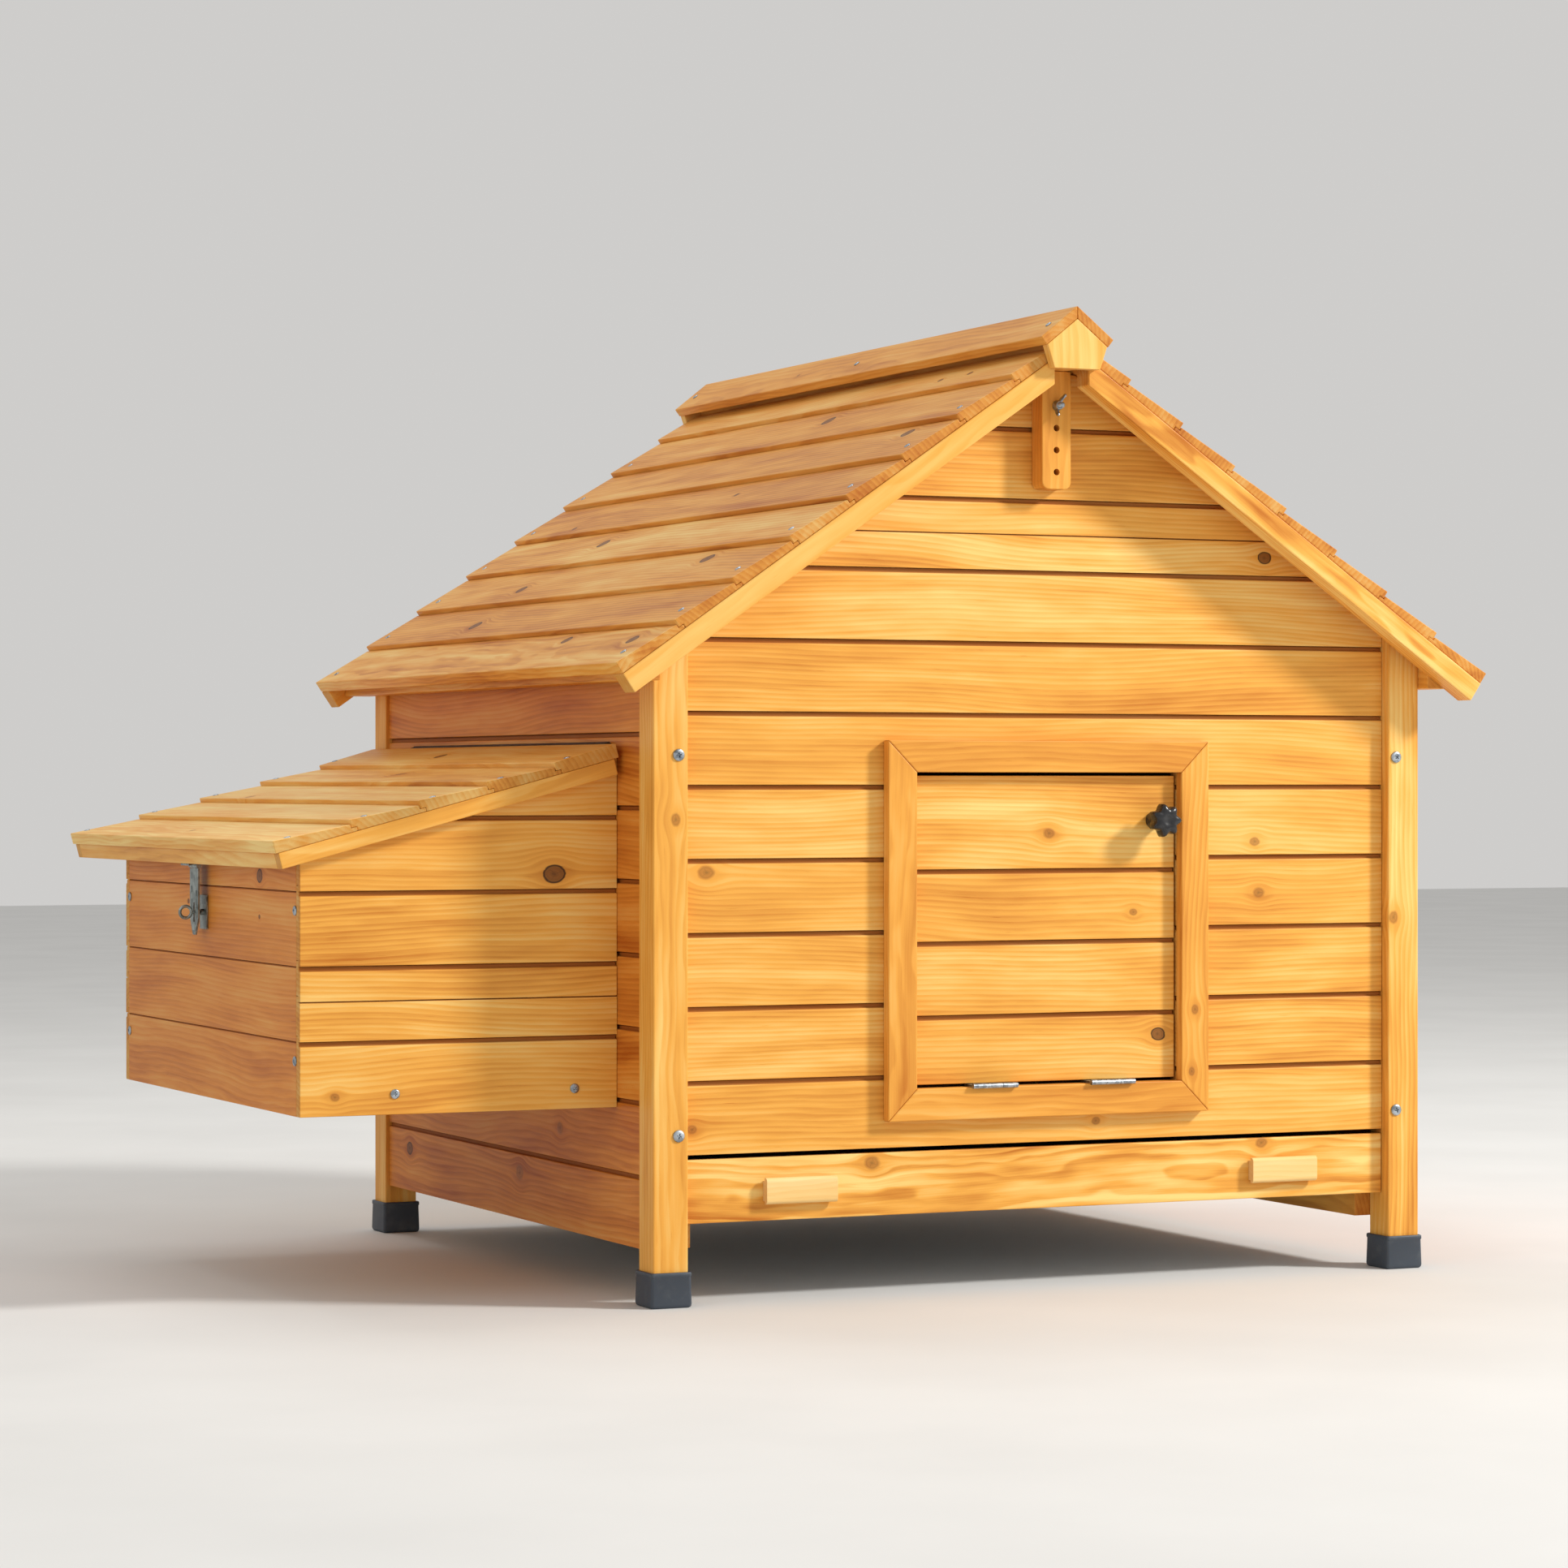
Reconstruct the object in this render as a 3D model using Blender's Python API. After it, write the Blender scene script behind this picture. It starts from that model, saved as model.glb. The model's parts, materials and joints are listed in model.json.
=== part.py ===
"""Raised wooden chicken coop: a boarded house on four capped legs, with a drop-down front door,
a side nest box under a hinged lid, a pull-out litter tray and a ridge cap that lifts for air.

Metres, +Z up, front face towards -Y, nest box towards -X. The ground is Z = 0.
Every shape is drawn about the middle plane of the house; one empty carries the house to its place,
so that the world origin is under the middle of the whole coop, nest box included.
"""

import math

import bmesh
import bpy
from mathutils import Matrix, Vector

# Driving dimensions -------------------------------------------------------------------------------
GAP = 0.0003                      # air left between pieces that touch
CLEAR = 0.0005                    # air left where a sawn edge follows a slope
PLAY = 0.0006                     # play round a pin or a bolt
PAST = 0.01                       # how far a cutter runs on past the piece that it cuts
HINGE_CLEAR = 0.0004              # air round a hinge's knuckles and its pin
PIN_SHARE = 0.4                   # a hinge pin's radius, as a share of its knuckles' radius
BODY_WIDTH = 0.905                # over the outer faces of the posts
BODY_DEPTH = 0.850
POST = 0.038                      # square section of the corner posts
BOARD = 0.012                     # thickness of the wall boards
BOARD_PITCH = 0.075               # cover width of a wall board
GROOVE_WIDTH = 0.006
GROOVE_DEPTH = 0.0035
FRONT_RECESS = 0.013              # from the posts' front faces back to the boards
SIDE_RECESS = 0.004
GABLE_BOTTOM = 0.1516
WALL_BOTTOM = 0.0555

FOOT_HEIGHT = 0.036
FOOT_WALL = 0.0032
FOOT_FLOOR = 0.0045

ROOF_ANGLE = math.radians(34.5)
ROOF_APEX = 0.9836                # where the undersides of the two slopes would meet
ROOF_REACH = 0.5042               # from the middle plane out to the underside's lower edge
ROOF_HALF_LENGTH = 0.470
RIDGE_SLOT = 0.0198               # half of the air gap between the two slopes
SLAT_PITCH = 0.0763
SLAT_COUNT = 8
SLAT_THICK = 0.0133               # at a slat's lower edge
SLAT_THIN = 0.0078                # where the next slat starts
RAFTER_HEIGHT = 0.0225
RAFTER_WIDTH = 0.026
EAVE_BATTEN = 0.031
EAVE_BATTEN_BOTTOM = 0.6315

CAP_ANGLE = math.radians(38.3)
CAP_TOP = 1.0233
CAP_REACH = 0.0426
CAP_BOARD = 0.0103
CAP_END = 0.012
CAP_END_BOTTOM = 0.958
CAP_END_FOOT = 0.0268
SPINE_HALF_WIDTH = 0.013
SPINE_BOTTOM = 0.960
SPINE_TOP = 0.998
BAR_WIDTH = 0.034
BAR_THICK = 0.024
BAR_BOTTOM = 0.836
BAR_ROUND = 0.008
BAR_HOLES = (0.9233, 0.900, 0.877, 0.854)
BOLT_RADIUS = 0.003
BOLT_HEAD_RADIUS = 0.007
BOLT_HEAD = 0.004
BOLT_TIP = 0.014                  # how far the bolt stands out of the bar
NUT_RADIUS = 0.0055
NUT_LENGTH = 0.0075
NUT_WING = 0.002
NUT_WING_OUTLINE = ((0.003, 0.001), (0.0085, 0.003), (0.0125, 0.0125), (0.0095, 0.0125), (0.003, 0.007))
NUT_TURN = math.radians(-68)

DOOR_HALF_OPENING = 0.1567
DOOR_SILL = 0.2125
DOOR_HEAD = 0.540
DOOR_CLEARANCE = 0.0022
DOOR_BOTTOM = 0.2155
DOOR_TOP = 0.5365
DOOR_GROOVES = (0.284, 0.3607, 0.4357)
DOOR_FRAME = 0.033
DOOR_HINGE_X = (-0.068, 0.0715)
DOOR_HINGE_LENGTH = 0.052
DOOR_HINGE_RADIUS = 0.0028
DOOR_HINGE_SHEET = 0.0010
KNOB_X = 0.1275
KNOB_Z = 0.489
KNOB_LOBES = 7
KNOB_RADIUS = 0.0155
KNOB_LOBE = 0.0025                # how far the lobes rise and the hollows sink
KNOB_HEAD = (0.019, 0.035)        # the head's back and front, from the door's face
KNOB_NECK_RADIUS = 0.009
KNOB_SHAFT = 0.004
LATCH_LENGTH = 0.045
LATCH_HALF_WIDTH = 0.009
LATCH_THICK = 0.003
LATCH_AIR = 0.0015

NEST_OUTER_X = -0.7895            # outer face of the box's end panel
NEST_FRONT_Y = -0.320
NEST_BACK_Y = 0.305
NEST_BOTTOM = 0.1955
NEST_HOLES = ((-0.285, -0.035), (0.015, 0.265))
NEST_HOLE_BOTTOM = 0.245
NEST_HOLE_TOP = 0.445
NEST_END_JOINTS = (0.2787, 0.346, 0.4138)
NEST_SIDE_JOINTS = (0.2705, 0.3102, 0.3455, 0.4205)
NEST_FLOOR = (0.003, 0.013)       # underside and top, from the box's lower edge

LID_ANGLE = math.radians(14.7)
LID_TIP = Vector((-0.8199, 0.0, 0.4588))   # lower edge of the lid boards' underside
LID_LENGTH = 0.3793
LID_FRONT_Y = -0.336
LID_BACK_Y = 0.418
LID_STEPS = (0.0, 0.0827, 0.158, 0.2333, 0.3086)
LID_THICK = 0.0128
LID_THIN = 0.0078
LID_WALL_THICK = 0.0145
LID_BATTEN = 0.015
LID_FRAME_START = 0.003
LID_BATTEN_HEIGHT = 0.0164
LID_BATTEN_END = 0.374
LID_HINGE_X = -0.4515             # in the gap between the lid's end and the wall
LID_HINGE_Z = 0.5694
LID_HINGE_RADIUS = 0.0020
LID_HINGE_LENGTH = 0.592
LID_HINGE_WING = 0.014
HINGE_SHEET = 0.0012

HASP_Y = 0.0025
HASP_WIDTH = 0.030
HASP_TIP_Z = 0.368
HASP_THICK = 0.002
HASP_AXIS = (0.0145, -0.0215)     # along and out, in the lid's own section
HASP_LEAF = (0.004, -0.0190, -0.0170)
HASP_BARREL = 0.003
HASP_TAPER = 0.018
HASP_TIP_HALF = 0.004
STAPLE_Z = 0.392
STAPLE_RADIUS = 0.0080
STAPLE_WIRE = 0.0033
STAPLE_HALF_THICK = 0.0015
STAPLE_SHANK = 0.0018
STAPLE_PLATE = (0.012, 0.018, 0.0015)
STAPLE_BOSS = 0.0045

TRAY_FRONT_BOTTOM = 0.0825
TRAY_FRONT_TOP = 0.147
TRAY_HALF_WIDTH = 0.4135
TRAY_PAN_HALF_WIDTH = 0.4115
TRAY_PAN_BACK = 0.360
TRAY_PAN_TOP = 0.130
TRAY_WALL = 0.009
TRAY_FLOOR = 0.006
HANDLE_X = 0.286
HANDLE_WIDTH = 0.080
HANDLE_Z = 0.113
HANDLE_HEIGHT = 0.027
HANDLE_DEPTH = 0.010
HANDLE_ROUND = 0.004
HANDLE_STEP = 0.003
RUNNER_TOP = 0.0828
RUNNER_INNER_X = 0.396
RUNNER_BACK = 0.040

PERCH_Y = 0.330
PERCH_Z = 0.400
PERCH_SIZE = 0.030
PERCH_ROUND = 0.006

# Values worked out from them ----------------------------------------------------------------------
HALF_WIDTH = BODY_WIDTH / 2
HALF_DEPTH = BODY_DEPTH / 2
FRONT_Y = -HALF_DEPTH + FRONT_RECESS                # outer face of the front boards
FRONT_INNER_Y = FRONT_Y + BOARD
POST_INNER_X = HALF_WIDTH - POST
POST_INNER_Y = HALF_DEPTH - POST
SIDE_X = HALF_WIDTH - SIDE_RECESS                   # outer face of the side boards
SIDE_INNER_X = SIDE_X - BOARD
EAVE_REACH = ROOF_REACH + SLAT_THICK * math.sin(ROOF_ANGLE)
LID_REACH = -LID_TIP.x + LID_THICK * math.sin(LID_ANGLE)
HOUSE_X = (LID_REACH - EAVE_REACH) / 2              # middle plane of the house from the origin
CAP_HALF_LENGTH = ROOF_HALF_LENGTH + GAP + CAP_END
BAR_OUTER_Y = FRONT_Y - GAP - BAR_THICK
DOOR_HINGE_Y = -HALF_DEPTH - DOOR_HINGE_RADIUS - 0.0004      # just in front of the frame
DOOR_HINGE_Z = (DOOR_SILL + DOOR_BOTTOM) / 2
WALL_TOP = ROOF_APEX - math.tan(ROOF_ANGLE) * SIDE_X - 2 * CLEAR

FIR = ("fir", (0.80, 0.49, 0.17), 0.55, 0.0)
PALE_FIR = ("pale_fir", (0.84, 0.68, 0.44), 0.6, 0.0)
ZINC = ("zinc", (0.62, 0.64, 0.66), 0.35, 1.0)
BLACK = ("black_plastic", (0.02, 0.02, 0.022), 0.45, 0.0)
FOOT = ("foot_plastic", (0.075, 0.085, 0.10), 0.5, 0.0)
SHEET = ("galvanised_sheet", (0.60, 0.62, 0.63), 0.4, 1.0)


def clear_scene():
    for obj in list(bpy.data.objects):
        bpy.data.objects.remove(obj, do_unlink=True)


def finish_of(name, look):
    """A material of its own for one sub-part."""
    kind, colour, roughness, metallic = look
    material = bpy.data.materials.new(f"{name}_{kind}")
    material.use_nodes = True
    shader = material.node_tree.nodes["Principled BSDF"]
    shader.inputs["Base Color"].default_value = (*colour, 1.0)
    shader.inputs["Roughness"].default_value = roughness
    shader.inputs["Metallic"].default_value = metallic
    return material


def place(name, bm, look, origin=(0, 0, 0), smooth=False):
    """Turns bm, drawn about the house's middle plane, into an object with its origin at that point."""
    bmesh.ops.recalc_face_normals(bm, faces=bm.faces)
    bmesh.ops.translate(bm, verts=bm.verts, vec=-Vector(origin))
    mesh = bpy.data.meshes.new(name)
    bm.to_mesh(mesh)
    bm.free()
    obj = bpy.data.objects.new(name, mesh)
    bpy.context.collection.objects.link(obj)
    obj.parent = HOUSE
    obj.location = origin
    if look:
        mesh.materials.append(finish_of(name, look))
    if smooth:
        mesh.shade_smooth()
        mesh.set_sharp_from_angle(angle=math.radians(35))
    return obj


def axis_frame(axis):
    """Columns (u, v, along) that carry an outline's two coordinates and its length to X, Y and Z."""
    u, v, along = {
        "X": ((0, 1, 0), (0, 0, 1), (1, 0, 0)),
        "Y": ((1, 0, 0), (0, 0, 1), (0, 1, 0)),
        "Z": ((1, 0, 0), (0, 1, 0), (0, 0, 1)),
    }[axis]
    return Vector(u), Vector(v), Vector(along)


def add_prism(bm, outline, axis, low, high):
    """Extrudes an outline of (u, v) points along an axis: (Y, Z) for X, (X, Z) for Y, (X, Y) for Z."""
    u, v, along = axis_frame(axis)
    ends = [[bm.verts.new(u * a + v * b + along * at) for a, b in outline] for at in (low, high)]
    bm.faces.new(ends[0])
    bm.faces.new(ends[1])
    for i in range(len(outline)):
        j = (i + 1) % len(outline)
        bm.faces.new((ends[0][i], ends[0][j], ends[1][j], ends[1][i]))


def prism(name, outline, axis, low, high, look, origin=(0, 0, 0), smooth=False):
    bm = bmesh.new()
    add_prism(bm, outline, axis, low, high)
    return place(name, bm, look, origin, smooth)


def rectangle(u0, v0, u1, v1):
    return [(u0, v0), (u1, v0), (u1, v1), (u0, v1)]


def circle(centre, radius, steps=16):
    turns = (2 * math.pi * (i + 0.5) / steps for i in range(steps))
    return [(centre[0] + radius * math.cos(a), centre[1] + radius * math.sin(a)) for a in turns]


def arc(centre, radius, first, last, steps):
    """Points of an arc, its ends in degrees."""
    turns = (math.radians(first + (last - first) * i / steps) for i in range(steps + 1))
    return [(centre[0] + radius * math.cos(a), centre[1] + radius * math.sin(a)) for a in turns]


def box(name, low, high, look, origin=(0, 0, 0)):
    return prism(name, rectangle(low[0], low[1], high[0], high[1]), "Z", low[2], high[2], look, origin)


def helper(name, bm, origin=(0, 0, 0)):
    """A solid that only cuts or joins another piece."""
    obj = place(name, bm, None, origin)
    obj.hide_render = True
    obj.display_type = "WIRE"
    return obj


def combine(obj, operation, prisms):
    """Cuts obj with, or joins to it, a list of prisms (outline, axis, low, high) that stand apart."""
    bm = bmesh.new()
    for outline, axis, low, high in prisms:
        add_prism(bm, outline, axis, low, high)
    tool = helper(f"{obj.name}_{operation.lower()}_{len(obj.modifiers)}", bm)
    modifier = obj.modifiers.new(operation.lower(), "BOOLEAN")
    modifier.operation = operation
    modifier.solver = "EXACT"
    modifier.object = tool


def grooved_profile(outer, inner, bottom, top, joints):
    """A board wall's section: outer and inner are its faces, and each joint is a groove in the outer."""
    into = math.copysign(GROOVE_DEPTH, inner - outer)
    points = [(inner, bottom), (outer, bottom)]
    for joint in joints:
        low, high = joint - GROOVE_WIDTH / 2, joint + GROOVE_WIDTH / 2
        points += [(outer, low), (outer + into, low + GROOVE_WIDTH / 4), (outer + into, high), (outer, high)]
    return points + [(outer, top), (inner, top)]


def joints_between(bottom, top):
    count = int((top - bottom - GROOVE_WIDTH) / BOARD_PITCH)
    return [bottom + BOARD_PITCH * (i + 1) for i in range(count)]


def roof_underside(x):
    return ROOF_APEX - math.tan(ROOF_ANGLE) * abs(x)


def on_slope(side, along, out):
    """A point of the roof's section: along is up from its lower edge, out is above its underside."""
    x = ROOF_REACH - along * math.cos(ROOF_ANGLE) + out * math.sin(ROOF_ANGLE)
    z = roof_underside(ROOF_REACH) + along * math.sin(ROOF_ANGLE) + out * math.cos(ROOF_ANGLE)
    return (side * x, z)


def on_lid(along, out):
    x = LID_TIP.x + along * math.cos(LID_ANGLE) - out * math.sin(LID_ANGLE)
    z = LID_TIP.z + along * math.sin(LID_ANGLE) + out * math.cos(LID_ANGLE)
    return (x, z)


def lid_underside(x):
    return LID_TIP.z + math.tan(LID_ANGLE) * (x - LID_TIP.x)


# Legs and feet ------------------------------------------------------------------------------------
def make_legs():
    for side, side_name in ((-1, "left"), (1, "right")):
        for end, end_name in ((-1, "front"), (1, "back")):
            x0, x1 = side * POST_INNER_X, side * HALF_WIDTH
            y0, y1 = sorted((end * POST_INNER_Y, end * HALF_DEPTH))
            top = [roof_underside(x) - CLEAR for x in (x1, x0)]
            outline = [(x0, FOOT_FLOOR + GAP), (x1, FOOT_FLOOR + GAP), (x1, top[0]), (x0, top[1])]
            prism(f"post_{end_name}_{side_name}", outline, "Y", y0, y1, FIR)
            make_foot(f"foot_cap_{end_name}_{side_name}", (x0 + x1) / 2, (y0 + y1) / 2)


def make_foot(name, x, y):
    """A square plastic cup, pushed over the end of a post."""
    hole = POST / 2 + GAP
    outside = hole + FOOT_WALL
    cup = box(name, (x - outside, y - outside, 0), (x + outside, y + outside, FOOT_HEIGHT), FOOT)
    socket = rectangle(x - hole, y - hole, x + hole, y + hole)
    combine(cup, "DIFFERENCE", [(socket, "Z", FOOT_FLOOR, FOOT_HEIGHT + PAST)])


# Walls --------------------------------------------------------------------------------------------
def gable_outline(bottom):
    half = POST_INNER_X - GAP
    flat = SPINE_BOTTOM - 3 * CLEAR
    flat_half = (ROOF_APEX - CLEAR - flat) / math.tan(ROOF_ANGLE)
    eaves = roof_underside(half) - CLEAR
    left = [(-flat_half, flat), (-half, eaves), (-half, bottom)]
    right = [(half, bottom), (half, eaves), (flat_half, flat)]
    return left + right


def make_gable(name, end, bottom):
    """A board gable. Its section runs across the house, and the roof line is cut with one solid."""
    outer, inner = -end * FRONT_Y, -end * FRONT_INNER_Y
    top = SPINE_BOTTOM
    profile = grooved_profile(outer, inner, bottom - PAST, top, joints_between(bottom, top))
    half = POST_INNER_X + PAST
    wall = prism(name, profile, "X", -half, half, FIR)
    low, high = sorted((outer, inner))
    combine(wall, "INTERSECT", [(gable_outline(bottom), "Y", low - PAST, high + PAST)])
    slot = BOLT_RADIUS + PLAY
    notch = rectangle(-slot, BAR_HOLES[0] - slot, slot, top + PAST)
    combine(wall, "DIFFERENCE", [(notch, "Y", low - PAST, high + PAST)])
    return wall


def make_walls():
    front = make_gable("wall_front", -1, GABLE_BOTTOM)
    doorway = rectangle(-DOOR_HALF_OPENING, DOOR_SILL, DOOR_HALF_OPENING, DOOR_HEAD)
    combine(front, "DIFFERENCE", [(doorway, "Y", FRONT_Y - PAST, FRONT_INNER_Y + PAST)])
    make_gable("wall_back", 1, WALL_BOTTOM)
    joints = joints_between(WALL_BOTTOM, WALL_TOP)
    length = POST_INNER_Y - GAP
    for side, name in ((-1, "wall_left"), (1, "wall_right")):
        profile = grooved_profile(side * SIDE_X, side * SIDE_INNER_X, WALL_BOTTOM, WALL_TOP, joints)
        wall = prism(name, profile, "Y", -length, length, FIR)
        if side < 0:
            entrances = [rectangle(low, NEST_HOLE_BOTTOM, high, NEST_HOLE_TOP) for low, high in NEST_HOLES]
            holes = [(entrance, "X", -SIDE_X - PAST, -SIDE_INNER_X + PAST) for entrance in entrances]
            combine(wall, "DIFFERENCE", holes)


# Door ---------------------------------------------------------------------------------------------
def make_door_frame():
    inner_x, outer_x = DOOR_HALF_OPENING, DOOR_HALF_OPENING + DOOR_FRAME
    low, high = DOOR_SILL, DOOR_HEAD
    sill, head = low - DOOR_FRAME, high + DOOR_FRAME
    y0, y1 = -HALF_DEPTH, FRONT_Y - GAP
    mitre = GAP
    for side, name in ((-1, "door_frame_left"), (1, "door_frame_right")):
        outline = [
            (side * inner_x, low + mitre),
            (side * outer_x, sill + mitre),
            (side * outer_x, head - mitre),
            (side * inner_x, high - mitre),
        ]
        prism(name, outline, "Y", y0, y1, FIR)
    for name, near, far in (("door_frame_top", high, head), ("door_frame_bottom", low, sill)):
        outline = [
            (-inner_x + mitre, near),
            (inner_x - mitre, near),
            (outer_x - mitre, far),
            (-outer_x + mitre, far),
        ]
        prism(name, outline, "Y", y0, y1, FIR)


def make_door():
    axis = (0, DOOR_HINGE_Y, DOOR_HINGE_Z)
    half = DOOR_HALF_OPENING - DOOR_CLEARANCE
    profile = grooved_profile(FRONT_Y, FRONT_INNER_Y, DOOR_BOTTOM, DOOR_TOP, DOOR_GROOVES)
    panel = prism("door_panel", profile, "X", -half, half, FIR, axis)
    bore = circle((KNOB_X, KNOB_Z), KNOB_SHAFT + PLAY)
    combine(panel, "DIFFERENCE", [(bore, "Y", FRONT_Y - PAST, FRONT_INNER_Y + PAST)])
    wing_end = FRONT_INNER_Y - 2 * CLEAR
    sheet = DOOR_HINGE_SHEET
    for x, side_name in zip(DOOR_HINGE_X, ("left", "right")):
        make_hinge(
            (f"door_hinge_leaf_{side_name}", f"door_hinge_flap_{side_name}"),
            axis,
            "X",
            (x - DOOR_HINGE_LENGTH / 2, x + DOOR_HINGE_LENGTH / 2),
            DOOR_HINGE_RADIUS,
            3,
            rectangle(DOOR_HINGE_Y, DOOR_SILL + GAP, wing_end, DOOR_SILL + GAP + sheet),
            rectangle(DOOR_HINGE_Y, DOOR_BOTTOM - GAP - sheet, wing_end, DOOR_BOTTOM - GAP),
        )


def make_hinge(names, axis, along, span, radius, knuckles, fixed_outline, moving_outline):
    """A leaf that carries the pin and every other knuckle, and a flap that turns on the pin.

    along is the hinge's axis, X or Y. The outlines are the two wings' sections across it.
    """
    centre = (axis[1], axis[2]) if along == "X" else (axis[0], axis[2])
    step = (span[1] - span[0]) / knuckles
    clear = HINGE_CLEAR
    pin = radius * PIN_SHARE

    def rings(first, size, spare):
        places = range(first, knuckles, 2)
        return [
            (circle(centre, size), along, span[0] + step * i - spare, span[0] + step * (i + 1) + spare)
            for i in places
        ]

    leaf = prism(names[0], fixed_outline, along, span[0], span[1], ZINC, axis)
    combine(leaf, "DIFFERENCE", rings(1, radius + clear, clear))
    combine(leaf, "UNION", rings(0, radius, 0))
    combine(leaf, "UNION", [(circle(centre, pin, 12), along, span[0] + 2 * clear, span[1] - 2 * clear)])
    flap = prism(names[1], moving_outline, along, span[0], span[1], ZINC, axis)
    combine(flap, "DIFFERENCE", rings(0, radius + clear, clear))
    combine(flap, "UNION", rings(1, radius, -clear))
    combine(flap, "DIFFERENCE", [(circle(centre, pin + clear, 12), along, span[0] - PAST, span[1] + PAST)])
    return leaf, flap


def make_knob():
    """A lobed star knob on a neck. Its shaft runs through the door and carries the latch tab."""
    axis = (KNOB_X, FRONT_Y, KNOB_Z)
    centre = (KNOB_X, KNOB_Z)
    head_back, head_front = (FRONT_Y - reach for reach in KNOB_HEAD)
    steps = 8 * KNOB_LOBES
    outline = []
    for i in range(steps):
        angle = 2 * math.pi * i / steps
        radius = KNOB_RADIUS + KNOB_LOBE * math.cos(KNOB_LOBES * angle)
        outline.append((KNOB_X + radius * math.cos(angle), KNOB_Z + radius * math.sin(angle)))
    knob = prism("door_knob", outline, "Y", head_front, head_back, BLACK, axis, smooth=True)
    neck = circle(centre, KNOB_NECK_RADIUS, 24)
    combine(knob, "UNION", [(neck, "Y", head_back - KNOB_SHAFT, FRONT_Y - CLEAR)])
    tab_y = FRONT_INNER_Y + LATCH_AIR
    shaft_end = tab_y + LATCH_THICK + KNOB_SHAFT
    combine(knob, "UNION", [(circle(centre, KNOB_SHAFT), "Y", head_back, shaft_end)])
    half = LATCH_HALF_WIDTH
    tab = rectangle(KNOB_X - half, KNOB_Z - LATCH_LENGTH, KNOB_X + half, KNOB_Z + half)
    latch = prism("door_latch_tab", tab, "Y", tab_y, tab_y + LATCH_THICK, ZINC, axis)
    bore = circle(centre, KNOB_SHAFT + GAP)
    combine(latch, "DIFFERENCE", [(bore, "Y", FRONT_INNER_Y, tab_y + PAST)])


# Roof ---------------------------------------------------------------------------------------------
def slope_outline(side):
    """The section of one slope: lapped slats, each thinner where the next one covers it."""
    end = (ROOF_REACH - RIDGE_SLOT) / math.cos(ROOF_ANGLE)
    points = [on_slope(side, 0, 0)]
    for i in range(SLAT_COUNT):
        start = SLAT_PITCH * i
        points.append(on_slope(side, start, SLAT_THICK))
        if i < SLAT_COUNT - 1:
            points.append(on_slope(side, start + SLAT_PITCH, SLAT_THIN))
    worn = (end - SLAT_PITCH * (SLAT_COUNT - 1)) / SLAT_PITCH
    last = SLAT_THICK + (SLAT_THIN - SLAT_THICK) * worn
    underside = roof_underside(RIDGE_SLOT)
    points.append((side * RIDGE_SLOT, underside + last / math.cos(ROOF_ANGLE)))
    points.append((side * RIDGE_SLOT, underside))
    return points


def make_roof():
    for side, side_name in ((-1, "left"), (1, "right")):
        length = ROOF_HALF_LENGTH
        prism(f"roof_boards_{side_name}", slope_outline(side), "Y", -length, length, FIR)
        rafter = [
            on_slope(side, 0, -GAP),
            on_slope(side, 0, -GAP - RAFTER_HEIGHT),
            (side * RIDGE_SLOT, roof_underside(RIDGE_SLOT) - (GAP + RAFTER_HEIGHT) / math.cos(ROOF_ANGLE)),
            (side * RIDGE_SLOT, roof_underside(RIDGE_SLOT) - GAP / math.cos(ROOF_ANGLE)),
        ]
        for end, end_name in ((-1, "front"), (1, "back")):
            y0, y1 = sorted((end * length, end * (length - RAFTER_WIDTH)))
            prism(f"roof_rafter_{end_name}_{side_name}", rafter, "Y", y0, y1, FIR)
        near, far = side * (HALF_WIDTH + GAP), side * (HALF_WIDTH + EAVE_BATTEN)
        eave = [
            (near, EAVE_BATTEN_BOTTOM),
            (far, EAVE_BATTEN_BOTTOM),
            (far, roof_underside(far) - GAP),
            (near, roof_underside(near) - GAP),
        ]
        batten_half = ROOF_HALF_LENGTH - RAFTER_WIDTH - GAP
        prism(f"roof_eave_batten_{side_name}", eave, "Y", -batten_half, batten_half, FIR)


def cap_outline(side):
    """The section of one ridge cap board, mitred at the top."""
    across = CAP_BOARD * math.sin(CAP_ANGLE)
    down = CAP_BOARD * math.cos(CAP_ANGLE)
    shoulder = CAP_TOP - CAP_REACH * math.tan(CAP_ANGLE)
    middle = side * GAP / 2
    return [
        (middle, CAP_TOP),
        (side * CAP_REACH, shoulder),
        (side * (CAP_REACH - across), shoulder - down),
        (middle, CAP_TOP - CAP_BOARD / math.cos(CAP_ANGLE)),
    ]


def make_ridge():
    for side, side_name in ((-1, "left"), (1, "right")):
        outline = cap_outline(side)
        prism(f"ridge_cap_board_{side_name}", outline, "Y", -CAP_HALF_LENGTH, CAP_HALF_LENGTH, FIR)
    inner_top = CAP_TOP - (CAP_BOARD + GAP) / math.cos(CAP_ANGLE)
    shoulder_x = CAP_REACH - (CAP_BOARD + GAP) * math.sin(CAP_ANGLE) - 0.001
    shoulder_z = inner_top - shoulder_x * math.tan(CAP_ANGLE)
    pentagon = [
        (-CAP_END_FOOT, CAP_END_BOTTOM),
        (CAP_END_FOOT, CAP_END_BOTTOM),
        (shoulder_x, shoulder_z),
        (0, inner_top),
        (-shoulder_x, shoulder_z),
    ]
    box(
        "ridge_spine",
        (-SPINE_HALF_WIDTH, -ROOF_HALF_LENGTH, SPINE_BOTTOM),
        (SPINE_HALF_WIDTH, ROOF_HALF_LENGTH, SPINE_TOP),
        FIR,
    )
    for end, end_name in ((-1, "front"), (1, "back")):
        y0, y1 = sorted((end * CAP_HALF_LENGTH, end * (ROOF_HALF_LENGTH + GAP)))
        prism(f"ridge_cap_end_{end_name}", pentagon, "Y", y0, y1, FIR)
        make_vent_bar(end, end_name)


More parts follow.
